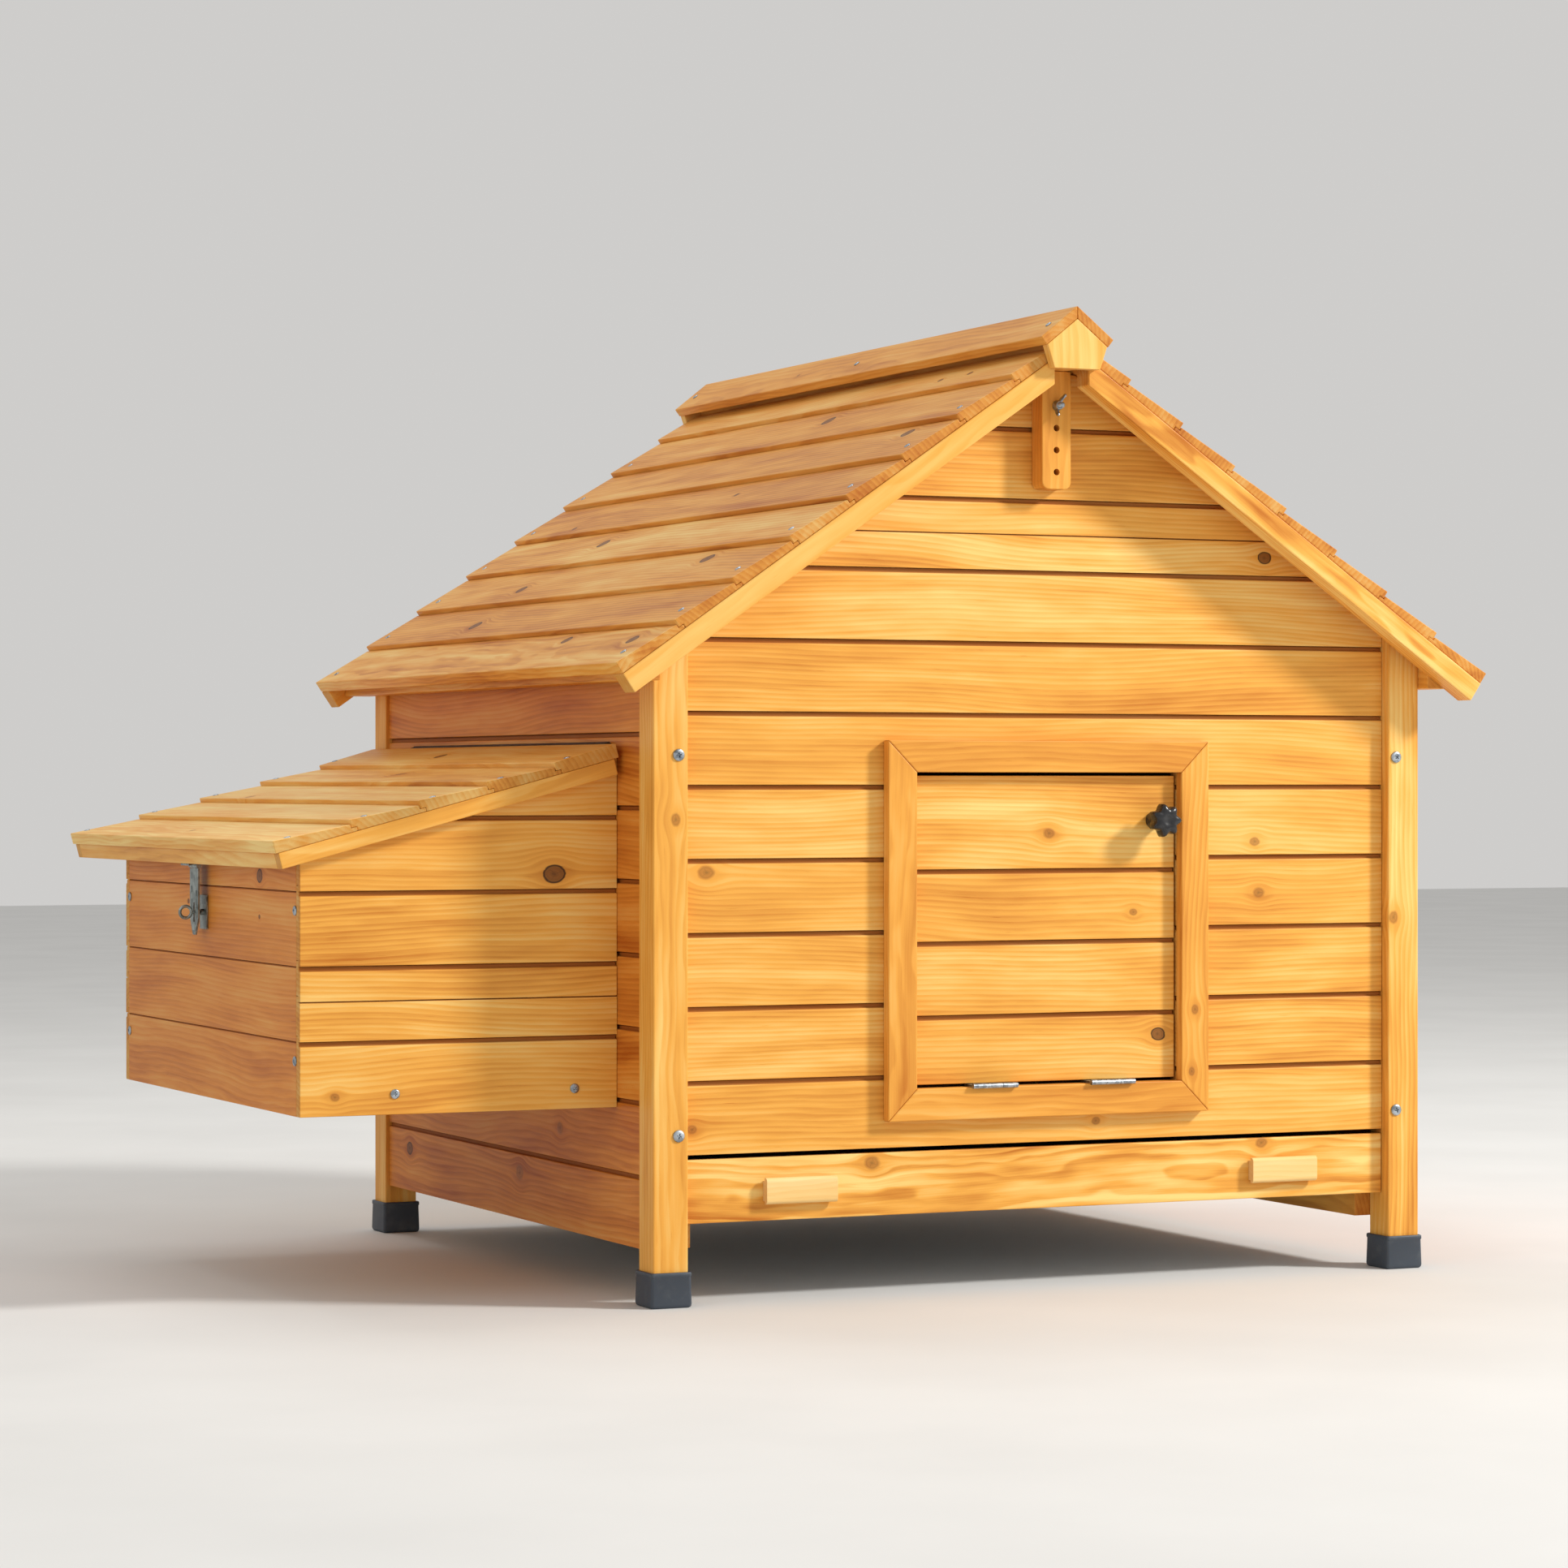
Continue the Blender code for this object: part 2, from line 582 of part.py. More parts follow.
def make_vent_bar(end, end_name):
    """The drilled bar under one end of the spine, with the bolt that sets the cap's height."""
    y0, y1 = sorted((-end * (FRONT_Y - GAP), -end * BAR_OUTER_Y))
    half = BAR_WIDTH / 2
    corner = half - BAR_ROUND
    outline = arc((-corner, BAR_BOTTOM + BAR_ROUND), BAR_ROUND, 180, 270, 5)
    outline += arc((corner, BAR_BOTTOM + BAR_ROUND), BAR_ROUND, 270, 360, 5)
    outline += [(half, SPINE_BOTTOM - GAP), (-half, SPINE_BOTTOM - GAP)]
    bar = prism(f"vent_bar_{end_name}", outline, "Y", y0, y1, FIR)
    holes = [(circle((0, z), BOLT_RADIUS + PLAY), "Y", y0 - PAST, y1 + PAST) for z in BAR_HOLES]
    combine(bar, "DIFFERENCE", holes)
    make_vent_bolt(end, end_name)
    make_wing_nut(end, end_name)


def make_vent_bolt(end, end_name):
    centre, outer = (0, BAR_HOLES[0]), -end * BAR_OUTER_Y
    axis = (0, outer, BAR_HOLES[0])
    tip, head = outer + end * BOLT_TIP, -end * (FRONT_INNER_Y + CLEAR)
    low, high = sorted((tip, head - end * BOLT_HEAD / 2))
    bolt = prism(f"vent_bolt_{end_name}", circle(centre, BOLT_RADIUS), "Y", low, high, ZINC, axis, True)
    low, high = sorted((head, head - end * BOLT_HEAD))
    combine(bolt, "UNION", [(circle(centre, BOLT_HEAD_RADIUS), "Y", low, high)])


def make_wing_nut(end, end_name):
    """A round hub with two flat ears, turned to where it came to rest."""
    centre, outer = (0, BAR_HOLES[0]), -end * BAR_OUTER_Y
    axis = (0, outer, BAR_HOLES[0])
    seat = outer + end * CLEAR
    low, high = sorted((seat, seat + end * NUT_LENGTH))
    nut = prism(f"vent_wing_nut_{end_name}", circle(centre, NUT_RADIUS), "Y", low, high, ZINC, axis, True)
    wings = []
    for side in (-1, 1):
        wing = [(side * x, seat + end * y) for x, y in NUT_WING_OUTLINE]
        wings.append((wing, "Z", BAR_HOLES[0] - NUT_WING / 2, BAR_HOLES[0] + NUT_WING / 2))
    combine(nut, "UNION", wings)
    combine(nut, "DIFFERENCE", [(circle(centre, BOLT_RADIUS + GAP), "Y", low - PAST, high + PAST)])
    turn = Matrix.Rotation(NUT_TURN, 4, "Y")
    for piece in [nut] + [modifier.object for modifier in nut.modifiers]:
        pivot = Matrix.Translation(Vector(axis) - piece.location)
        piece.data.transform(pivot @ turn @ pivot.inverted())


# Nest box -----------------------------------------------------------------------------------------
def make_nest():
    wall_x = -SIDE_X - GAP
    for name, outer, inward in (
        ("nest_side_front", NEST_FRONT_Y, 1),
        ("nest_side_back", NEST_BACK_Y, -1),
    ):
        inner = outer + inward * BOARD
        profile = grooved_profile(outer, inner, NEST_BOTTOM, LID_HINGE_Z, NEST_SIDE_JOINTS)
        panel = prism(name, profile, "X", NEST_OUTER_X, wall_x + PAST, FIR)
        past_end = NEST_OUTER_X - PAST
        outline = [
            (past_end, NEST_BOTTOM - PAST),
            (wall_x, NEST_BOTTOM - PAST),
            (wall_x, lid_underside(wall_x) - CLEAR),
            (past_end, lid_underside(past_end) - CLEAR),
        ]
        low, high = sorted((outer, inner))
        combine(panel, "INTERSECT", [(outline, "Y", low - PAST, high + PAST)])
    inner_front, inner_back = NEST_FRONT_Y + BOARD + GAP, NEST_BACK_Y - BOARD - GAP
    top = lid_underside(NEST_OUTER_X) - 2 * CLEAR
    profile = grooved_profile(NEST_OUTER_X, NEST_OUTER_X + BOARD, NEST_BOTTOM, top, NEST_END_JOINTS)
    prism("nest_end", profile, "Y", inner_front, inner_back, FIR)
    floor_x = NEST_OUTER_X + BOARD + GAP
    underside, floor_top = (NEST_BOTTOM + height for height in NEST_FLOOR)
    box("nest_floor", (floor_x, inner_front, underside), (wall_x, inner_back, floor_top), FIR)


def make_lid():
    axis = (LID_HINGE_X, 0, LID_HINGE_Z)
    points = [on_lid(0, 0)]
    for i, start in enumerate(LID_STEPS):
        points.append(on_lid(start, LID_THICK))
        if i < len(LID_STEPS) - 1:
            points.append(on_lid(LID_STEPS[i + 1], LID_THIN))
    points += [on_lid(LID_LENGTH, LID_WALL_THICK), on_lid(LID_LENGTH, 0)]
    prism("lid_boards", points, "Y", LID_FRONT_Y, LID_BACK_Y, FIR, axis)
    make_lid_frame(axis)
    make_lid_hinge(axis)


def make_lid_frame(axis):
    """A batten under the lid's outer edge and one under each side, in one piece."""
    start = LID_FRAME_START
    front, back = LID_FRONT_Y + CLEAR, LID_BACK_Y
    frame = [
        (start, front),
        (LID_BATTEN_END, front),
        (LID_BATTEN_END, front + LID_BATTEN),
        (start + LID_BATTEN, front + LID_BATTEN),
        (start + LID_BATTEN, back - LID_BATTEN),
        (LID_BATTEN_END, back - LID_BATTEN),
        (LID_BATTEN_END, back),
        (start, back),
    ]
    bm = bmesh.new()
    add_prism(bm, frame, "Z", -GAP - LID_BATTEN_HEIGHT, -GAP)
    bmesh.ops.transform(bm, verts=bm.verts, matrix=Matrix.Rotation(-LID_ANGLE, 4, "Y"))
    bmesh.ops.translate(bm, verts=bm.verts, vec=LID_TIP)
    place("lid_frame", bm, FIR, axis)


def make_lid_hinge(axis):
    """A long hinge whose leaf lies on the wall and whose flap lies on the lid's end, both out of sight."""
    across, up = LID_HINGE_X - LID_TIP.x, LID_HINGE_Z - LID_TIP.z
    axis_along = across * math.cos(LID_ANGLE) + up * math.sin(LID_ANGLE)
    axis_out = up * math.cos(LID_ANGLE) - across * math.sin(LID_ANGLE)
    near, far = LID_LENGTH + GAP, LID_LENGTH + GAP + HINGE_SHEET
    flap = [
        on_lid(near, GAP),
        on_lid(far, GAP),
        on_lid(far, axis_out - HINGE_SHEET),
        on_lid(axis_along, axis_out - HINGE_SHEET),
        on_lid(axis_along, axis_out + HINGE_SHEET),
        on_lid(near, axis_out + HINGE_SHEET),
    ]
    wall = -SIDE_X - GAP
    leaf = rectangle(wall - HINGE_SHEET, LID_HINGE_Z - LID_HINGE_WING, wall, LID_HINGE_Z)
    middle = (NEST_FRONT_Y + NEST_BACK_Y) / 2
    span = (middle - LID_HINGE_LENGTH / 2, middle + LID_HINGE_LENGTH / 2)
    make_hinge(("lid_hinge_leaf", "lid_hinge_flap"), axis, "Y", span, LID_HINGE_RADIUS, 5, leaf, flap)


def make_hasp():
    """A slotted strap hinged under the lid's end batten, over a staple that swivels on the box."""
    hinge_x, hinge_z = on_lid(*HASP_AXIS)
    axis = (hinge_x, HASP_Y, hinge_z)
    half = HASP_WIDTH / 2
    start, under, over = HASP_LEAF
    end = HASP_AXIS[0]
    plate = [on_lid(start, over), on_lid(end, over), on_lid(end, under), on_lid(start, under)]
    strap_section = rectangle(hinge_x - HASP_THICK / 2, HASP_TIP_Z, hinge_x + HASP_THICK / 2, hinge_z)
    span = (HASP_Y - half, HASP_Y + half)
    _, strap = make_hinge(("hasp_leaf", "hasp_strap"), axis, "Y", span, HASP_BARREL, 3, plate, strap_section)
    low, high = hinge_x - PAST, hinge_x + PAST
    tip, shoulder = HASP_TIP_Z - CLEAR, HASP_TIP_Z + HASP_TAPER
    corners = []
    for side in (-1, 1):
        past_side = HASP_Y + side * (half + PAST)
        corner = [
            (HASP_Y + side * HASP_TIP_HALF, tip),
            (HASP_Y + side * half, shoulder),
            (past_side, shoulder),
            (past_side, tip),
        ]
        corners.append((corner, "X", low, high))
    combine(strap, "DIFFERENCE", corners)
    slot_half, slot_reach = STAPLE_SHANK + CLEAR, STAPLE_RADIUS + STAPLE_SHANK + CLEAR
    slot = rectangle(HASP_Y - slot_half, STAPLE_Z - slot_reach, HASP_Y + slot_half, STAPLE_Z + slot_reach)
    combine(strap, "DIFFERENCE", [(slot, "X", low, high)])
    make_staple(hinge_x - HASP_THICK / 2)


def make_staple(strap_face):
    """A bossed plate on the box, and a ring whose shank turns in it."""
    centre = (HASP_Y, STAPLE_Z)
    plate_x = NEST_OUTER_X - GAP
    wide, high, sheet = STAPLE_PLATE
    outline = rectangle(HASP_Y - wide, STAPLE_Z - high, HASP_Y + wide, STAPLE_Z + high)
    base = prism("hasp_staple_plate", outline, "X", plate_x - sheet, plate_x, ZINC)
    boss_x = plate_x - STAPLE_BOSS
    boss_radius = STAPLE_SHANK + sheet
    combine(base, "UNION", [(circle(centre, boss_radius, 20), "X", boss_x, plate_x - CLEAR)])
    combine(base, "DIFFERENCE", [(circle(centre, STAPLE_SHANK + GAP), "X", boss_x - PAST, plate_x + PAST)])
    ring_x = strap_face - HINGE_SHEET - STAPLE_RADIUS
    ring_centre = (ring_x, STAPLE_Z)
    low, high = HASP_Y - STAPLE_HALF_THICK, HASP_Y + STAPLE_HALF_THICK
    pivot = (ring_x, HASP_Y, STAPLE_Z)
    staple = prism("hasp_staple", circle(ring_centre, STAPLE_RADIUS, 24), "Y", low, high, ZINC, pivot, True)
    eye = circle(ring_centre, STAPLE_RADIUS - STAPLE_WIRE, 20)
    combine(staple, "DIFFERENCE", [(eye, "Y", low - PAST, high + PAST)])
    shank_start = ring_x + STAPLE_RADIUS - STAPLE_HALF_THICK
    combine(staple, "UNION", [(circle(centre, STAPLE_SHANK), "X", shank_start, plate_x - GAP)])


# Litter tray and perch ----------------------------------------------------------------------------
def make_tray():
    box(
        "tray_front",
        (-TRAY_HALF_WIDTH, FRONT_Y, TRAY_FRONT_BOTTOM),
        (TRAY_HALF_WIDTH, FRONT_INNER_Y, TRAY_FRONT_TOP),
        FIR,
    )
    half, front, back = TRAY_PAN_HALF_WIDTH, FRONT_INNER_Y + GAP, TRAY_PAN_BACK
    floor = RUNNER_TOP + GAP
    pan = box("tray_pan", (-half, front, floor), (half, back, TRAY_PAN_TOP), SHEET)
    inside = rectangle(-half + TRAY_WALL, front + TRAY_WALL, half - TRAY_WALL, back - TRAY_WALL)
    combine(pan, "DIFFERENCE", [(inside, "Z", floor + TRAY_FLOOR, TRAY_PAN_TOP + PAST)])
    for side, side_name in ((-1, "left"), (1, "right")):
        make_handle(f"tray_handle_{side_name}", side * HANDLE_X)

    outer, end = SIDE_INNER_X - GAP, POST_INNER_Y - GAP
    inner = RUNNER_INNER_X
    outline = [
        (-outer, -end),
        (-inner, -end),
        (-inner, end - RUNNER_BACK),
        (inner, end - RUNNER_BACK),
        (inner, -end),
        (outer, -end),
        (outer, end),
        (-outer, end),
    ]
    prism("tray_runner_frame", outline, "Z", WALL_BOTTOM, RUNNER_TOP, FIR)


def make_handle(name, x):
    """A short length of moulding: two round front edges and a stepped back."""
    back = FRONT_Y - GAP
    front = back - HANDLE_DEPTH
    bottom, top = HANDLE_Z - HANDLE_HEIGHT / 2, HANDLE_Z + HANDLE_HEIGHT / 2
    edge = front + HANDLE_ROUND
    step_y = back - HANDLE_ROUND
    outline = [(back, bottom + HANDLE_STEP), (step_y, bottom + HANDLE_STEP), (step_y, bottom)]
    outline += arc((edge, bottom + HANDLE_ROUND), HANDLE_ROUND, 270, 180, 6)
    outline += arc((edge, top - HANDLE_ROUND), HANDLE_ROUND, 180, 90, 6)
    outline += [(step_y, top), (step_y, top - HANDLE_STEP), (back, top - HANDLE_STEP)]
    prism(name, outline, "X", x - HANDLE_WIDTH / 2, x + HANDLE_WIDTH / 2, PALE_FIR)


def make_perch():
    inset = PERCH_SIZE / 2 - PERCH_ROUND
    outline = []
    for side_y, side_z, first in ((1, 1, 0), (-1, 1, 90), (-1, -1, 180), (1, -1, 270)):
        corner = (PERCH_Y + side_y * inset, PERCH_Z + side_z * inset)
        outline += arc(corner, PERCH_ROUND, first, first + 90, 3)
    length = SIDE_INNER_X - GAP
    prism("perch", outline, "X", -length, length, FIR)


clear_scene()
HOUSE = bpy.data.objects.new("house", None)
HOUSE.location = (HOUSE_X, 0, 0)
bpy.context.collection.objects.link(HOUSE)
make_legs()
make_walls()
make_door_frame()
make_door()
make_knob()
make_roof()
make_ridge()
make_nest()
make_lid()
make_hasp()
make_tray()
make_perch()
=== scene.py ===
"""The looks of the raised wooden chicken coop.

Every wooden piece is rebuilt here board by board around its CAD node, so that each board has its own
joint, rounded edges, growth rings and knots. The hardware gets finer shapes and its own finishes.
Metres, +Z up, front face towards -Y, nest box towards -X.
"""

import json
import math
import random

import bmesh
import bpy
from mathutils import Matrix, Vector

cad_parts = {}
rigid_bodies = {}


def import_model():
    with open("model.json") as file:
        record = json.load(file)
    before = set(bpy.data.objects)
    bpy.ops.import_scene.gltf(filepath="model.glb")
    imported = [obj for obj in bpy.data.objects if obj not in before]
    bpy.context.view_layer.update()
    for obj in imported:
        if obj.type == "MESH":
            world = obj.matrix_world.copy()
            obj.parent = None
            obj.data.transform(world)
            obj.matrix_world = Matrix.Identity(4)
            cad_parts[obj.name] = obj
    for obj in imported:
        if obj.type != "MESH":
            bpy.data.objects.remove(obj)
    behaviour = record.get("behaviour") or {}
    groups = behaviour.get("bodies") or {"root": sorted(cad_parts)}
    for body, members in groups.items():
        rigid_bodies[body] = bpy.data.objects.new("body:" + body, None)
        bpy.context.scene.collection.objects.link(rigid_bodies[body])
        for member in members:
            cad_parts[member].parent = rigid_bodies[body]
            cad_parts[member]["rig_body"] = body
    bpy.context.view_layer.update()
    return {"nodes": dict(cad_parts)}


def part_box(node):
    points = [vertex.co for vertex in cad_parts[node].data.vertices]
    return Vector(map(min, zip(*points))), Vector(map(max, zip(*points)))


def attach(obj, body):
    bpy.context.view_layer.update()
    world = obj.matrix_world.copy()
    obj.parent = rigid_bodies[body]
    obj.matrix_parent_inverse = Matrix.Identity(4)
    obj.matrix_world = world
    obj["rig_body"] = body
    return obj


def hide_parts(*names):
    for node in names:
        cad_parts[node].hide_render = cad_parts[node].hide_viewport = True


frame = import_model()

BODY_OF = {name: obj["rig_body"] for name, obj in frame["nodes"].items()}
DRAW = random.Random(38)

# ---- Driving sizes
GAP = 0.0003                       # play between two pieces of wood
PITCH = 0.075                      # cover width of a wall board
LAP = 0.006                        # how far a board runs on behind the next one
GROOVE_WIDTH = 0.0042              # between two wall boards, seen from outside
GROOVE_DEPTH = 0.0035
GROOVE_CHAMFER = 0.0013
CRACK_WIDTH = 0.0009               # of a split in a board
CRACK_DEPTH = 0.0012
RECESS_BAND = 0.0004               # depths this near a groove's floor take the groove's darker colour: pooled stain and painted shade
EDGE = 0.0007                      # rounding of a sawn edge
SAW_PLAY = 0.0006                  # left under the roof and the lid by a sloped saw cut
ROOF_ANGLE = math.radians(34.5)
ROOF_SLOPE = math.tan(ROOF_ANGLE)
RIDGE_ANGLE = math.radians(38.3)
LID_ANGLE = math.radians(14.7)
SLAT_PITCH = 0.0763
SLAT_THICK = 0.0133                # of a roof slat's lower edge
SLAT_THIN = 0.0078                 # of its upper edge
SLAT_TONGUE = 0.0042
LID_THICK = 0.0128
SCREW_SINK = 0.0003

MIDDLE = (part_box("wall_front")[0].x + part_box("wall_front")[1].x) / 2
X, Y, Z = Vector((1, 0, 0)), Vector((0, 1, 0)), Vector((0, 0, 1))
SIDES = ((-1, "left"), (1, "right"))
ENDS = ((-1, "front"), (1, "back"))


# ---- Materials
RING_WIDTH = 0.0052                # of one year's growth
SMALLEST_KNOT = 0.0005


class Shader:
    """Adds and links the shader nodes of one material."""

    def __init__(self, name, roughness, metallic=0.0):
        self.material = bpy.data.materials.new(name)
        self.material.use_nodes = True
        self.tree = self.material.node_tree
        self.surface = self.tree.nodes["Principled BSDF"]
        self.set("Roughness", roughness)
        self.set("Metallic", metallic)

    def set(self, name, value):
        self.put(self.surface.inputs[name], value)

    def put(self, socket, value):
        if isinstance(value, bpy.types.NodeSocket):
            self.tree.links.new(value, socket)
        else:
            socket.default_value = value

    def node(self, kind, inputs=(), **settings):
        made = self.tree.nodes.new(f"ShaderNode{kind}")
        for key, value in settings.items():
            setattr(made, key, value)
        for socket, value in zip(made.inputs, inputs):
            self.put(socket, value)
        return made

    def math(self, operation, *values):
        return self.node("Math", values, operation=operation).outputs[0]

    def add(self, total, *more):
        for value in more:
            total = self.math("ADD", total, value)
        return total

    def sub(self, first, second):
        return self.math("SUBTRACT", first, second)

    def mul(self, first, second):
        return self.math("MULTIPLY", first, second)

    def div(self, first, second):
        return self.math("DIVIDE", first, second)

    def square_sum(self, first, second):
        return self.add(self.math("POWER", first, 2.0), self.math("POWER", second, 2.0))

    def ramp(self, value, low, high, to_low=0.0, to_high=1.0):
        """Goes smoothly from to_low to to_high as value goes from low to high."""
        made = self.node("MapRange", (value, low, high, to_low, to_high), interpolation_type="SMOOTHSTEP")
        return made.outputs[0]

    def attribute(self, name):
        made = self.node("Attribute", attribute_name=name)
        return made.outputs["Vector"], made.outputs["Fac"]

    def split(self, vector):
        return self.node("SeparateXYZ", (vector,)).outputs[:]

    def join(self, x, y, z):
        return self.node("CombineXYZ", (x, y, z)).outputs[0]

    def stretch(self, vector, scale):
        return self.node("VectorMath", (vector, scale), operation="MULTIPLY").outputs[0]

    def noise(self, vector, detail=2.0, rough=0.5, scale=1.0):
        made = self.node("TexNoise", (vector,))
        for key, value in (("Scale", scale), ("Detail", detail), ("Roughness", rough)):
            made.inputs[key].default_value = value
        return made.outputs[0]

    def colours(self, value, stops):
        made = self.node("ValToRGB", (value,))
        ends = made.color_ramp.elements
        while len(ends) < len(stops):
            ends.new(0.5)
        for end, (place, colour) in zip(ends, stops):
            end.position = place
            end.color = (*colour, 1.0)
        return made.outputs[0]

    def blend(self, factor, first, second, kind="MIX"):
        made = self.node("Mix", data_type="RGBA", blend_type=kind, clamp_factor=True)
        self.put(made.inputs[0], factor)
        for socket, value in ((made.inputs[6], first), (made.inputs[7], second)):
            self.put(socket, (*value, 1.0) if isinstance(value, tuple) else value)
        return made.outputs[2]

    def bump(self, height, distance, strength):
        made = self.node("Bump")
        made.inputs["Strength"].default_value = strength
        made.inputs["Distance"].default_value = distance
        self.put(made.inputs["Height"], height)
        self.set("Normal", made.outputs[0])


def knot_parts(s, name, u, v, warp):
    """The masks of one knot by name, and how far it draws the grain lines towards it."""
    at_u, at_v, size = s.split(s.attribute(name)[0])
    radius = s.math("MAXIMUM", s.math("ABSOLUTE", size), SMALLEST_KNOT)
    along = s.div(s.sub(u, at_u), radius)
    across = s.div(s.sub(v, at_v), radius)
    warped = s.add(s.mul(along, 0.78), s.mul(warp, 0.5))
    square = s.square_sum(warped, across)
    distance = s.math("SQRT", square)
    fall = s.div(1.0, s.add(1.0, s.math("POWER", s.div(square, 5.0), 2.0)))
    dead = s.math("LESS_THAN", size, 0.0)
    rim = s.mul(s.ramp(distance, 0.74, 0.95), s.ramp(distance, 0.98, 1.15, 1.0, 0.0))
    turn = s.math("ARCTAN2", across, along)
    spoke = s.math("ABSOLUTE", s.math("SINE", s.add(s.mul(turn, 1.5), s.mul(warp, 5.0))))
    check = s.mul(s.ramp(spoke, 0.0, 0.22, 1.0, 0.0), s.ramp(distance, 0.35, 0.80, 1.0, 0.0))
    return {
        "pull": s.mul(s.mul(s.sub(v, at_v), fall), -0.8),
        "core": s.ramp(distance, 0.70, 1.15, 1.0, 0.0),
        "rim": s.mul(rim, dead),
        "halo": s.ramp(distance, 0.9, 3.2, 1.0, 0.0),
        "rings": s.math("FRACT", s.mul(distance, 2.6)),
        "dead": dead,
        "cracks": s.math("MAXIMUM", check, s.ramp(distance, 0.10, 0.28, 1.0, 0.0)),
    }


def wood(name, pale, honey, amber, groove, knot, roughness):
    """Sawn softwood under a thin stain. Its grain attribute is a board's own (u, v, w), u along it."""
    s = Shader(name, roughness)
    s.set("Specular IOR Level", 0.22)
    grain = s.attribute("grain")[0]
    u, v, w = s.split(grain)
    tone, contrast, redness_and_shade = s.split(s.attribute("look")[0])
    stain_and_shade = s.attribute("stain_and_shade")[1]

    def swing(value, amount):
        return s.mul(s.sub(value, 0.5), amount)

    warp = s.sub(s.noise(s.stretch(grain, (60, 160, 160))), 0.5)
    knots = [knot_parts(s, f"knot_{letter}", u, v, warp) for letter in "ab"]
    sway = s.noise(s.stretch(grain, (1.9, 4, 4)), 1.5)
    ripple = s.noise(s.stretch(grain, (8, 26, 26)), 2.0)
    bent = s.add(v, knots[0]["pull"], knots[1]["pull"], swing(sway, 0.060))
    deep = s.add(w, swing(ripple, 0.016))
    year = s.math("FRACT", s.div(s.math("SQRT", s.square_sum(bent, deep)), RING_WIDTH))
    late = s.mul(s.ramp(year, 0.10, 0.82), s.ramp(year, 0.84, 1.0, 1.0, 0.0))

    bent_grain = s.join(u, bent, w)
    fibre = s.noise(s.stretch(bent_grain, (16, 620, 620)), 3.0, 0.6)
    streak = s.noise(s.stretch(bent_grain, (3.2, 62, 62)), 2.5, 0.55)
    blotch = s.noise(s.stretch(bent_grain, (4.2, 20, 20)), 3.0, 0.6)
    fleck = s.ramp(s.noise(s.stretch(bent_grain, (38, 900, 900)), 1.0), 0.70, 0.80)

    depth = s.add(swing(late, 0.17), swing(fibre, 0.24), swing(streak, 0.85), swing(blotch, 1.05))
    depth = s.add(s.mul(depth, contrast), tone, 0.46, s.mul(fleck, 0.16))
    depth = s.add(depth, s.mul(knots[0]["halo"], 0.13), s.mul(knots[1]["halo"], 0.13))
    colour = s.colours(depth, ((0.0, pale), (0.5, honey), (1.0, amber)))
    # The look's third value multiplies in a darker, redder tint. Where it is set high, on the side walls
    # and the nest's end, it is painted shade.
    colour = s.blend(redness_and_shade, colour, (0.84, 0.58, 0.38), "MULTIPLY")
    for part in knots:
        heart = s.blend(s.mul(part["rings"], 0.60), knot, tuple(c * 0.4 for c in knot))
        heart = s.blend(s.mul(part["cracks"], 0.85), heart, (0.045, 0.018, 0.008))
        heart = s.blend(s.mul(part["dead"], 0.55), heart, (0.09, 0.030, 0.010))
        strength = s.add(0.62, s.mul(part["dead"], 0.24))
        colour = s.blend(s.mul(part["core"], strength), colour, heart)
        colour = s.blend(s.mul(part["rim"], 0.9), colour, (0.022, 0.010, 0.006))
    # The groove colour: lighter on end grain, which soaks up stain; on groove floors and between wall
    # boards it is painted shade, with some pooled stain in the grooves.
    s.set("Base Color", s.blend(s.mul(stain_and_shade, 0.86), colour, groove))
    s.set("Roughness", s.add(roughness - 0.10, s.mul(fibre, 0.20), s.mul(stain_and_shade, 0.22)))
    relief = s.add(s.mul(fibre, 0.6), s.mul(late, 0.35), s.mul(knots[0]["core"], 0.8))
    s.bump(relief, 0.00028, 0.55)
    return s.material


def metal(name, light, dark, roughness, grain_scale, spangle):
    """Plated or galvanised steel: cloudy zinc over fine scratches."""
    s = Shader(name, roughness, 1.0)
    place = s.node("TexCoord").outputs["Object"]
    cloud = s.noise(place, 4.0, 0.6, grain_scale)
    cells = s.node("TexVoronoi", (place,))
    cells.inputs["Scale"].default_value = spangle
    patch = s.mul(s.split(cells.outputs["Color"])[0], 0.5)
    value = s.add(s.mul(cloud, 0.6), patch)
    s.set("Base Color", s.colours(value, ((0.2, dark), (0.8, light))))
    s.set("Roughness", s.add(roughness - 0.10, s.mul(value, 0.25)))
    s.bump(cloud, 0.00008, 0.5)
    return s.material


def plastic(name, colour, dust, roughness, grain):
    """Moulded plastic with a fine grain, and dust where the noise is high."""
    s = Shader(name, roughness)
    place = s.node("TexCoord").outputs["Object"]
    cloud = s.noise(place, 4.0, 0.6, 60.0)
    fine = s.noise(place, 2.0, 0.6, grain)
    s.set("Base Color", s.blend(s.ramp(cloud, 0.45, 0.75, 0.0, 0.7), colour, dust))
    s.set("Roughness", s.add(roughness - 0.06, s.mul(cloud, 0.14)))
    s.bump(fine, 0.00012, 0.35)
    return s.material


# Colours: pale, honey and amber wood, the groove colour (pooled stain darkened as painted shade), and the
# knots.
STAINED = wood(
    "stained_fir", (0.92, 0.64, 0.215), (0.82, 0.39, 0.065), (0.50, 0.155, 0.014),
    (0.30, 0.080, 0.011), (0.36, 0.125, 0.024), 0.46,
)
PALE = wood(
    "pale_fir", (0.95, 0.72, 0.36), (0.86, 0.56, 0.21), (0.66, 0.34, 0.08),
    (0.50, 0.24, 0.07), (0.45, 0.22, 0.08), 0.55,
)
ZINC = metal("zinc_plate", (0.50, 0.55, 0.60), (0.18, 0.21, 0.245), 0.36, 90.0, 260.0)
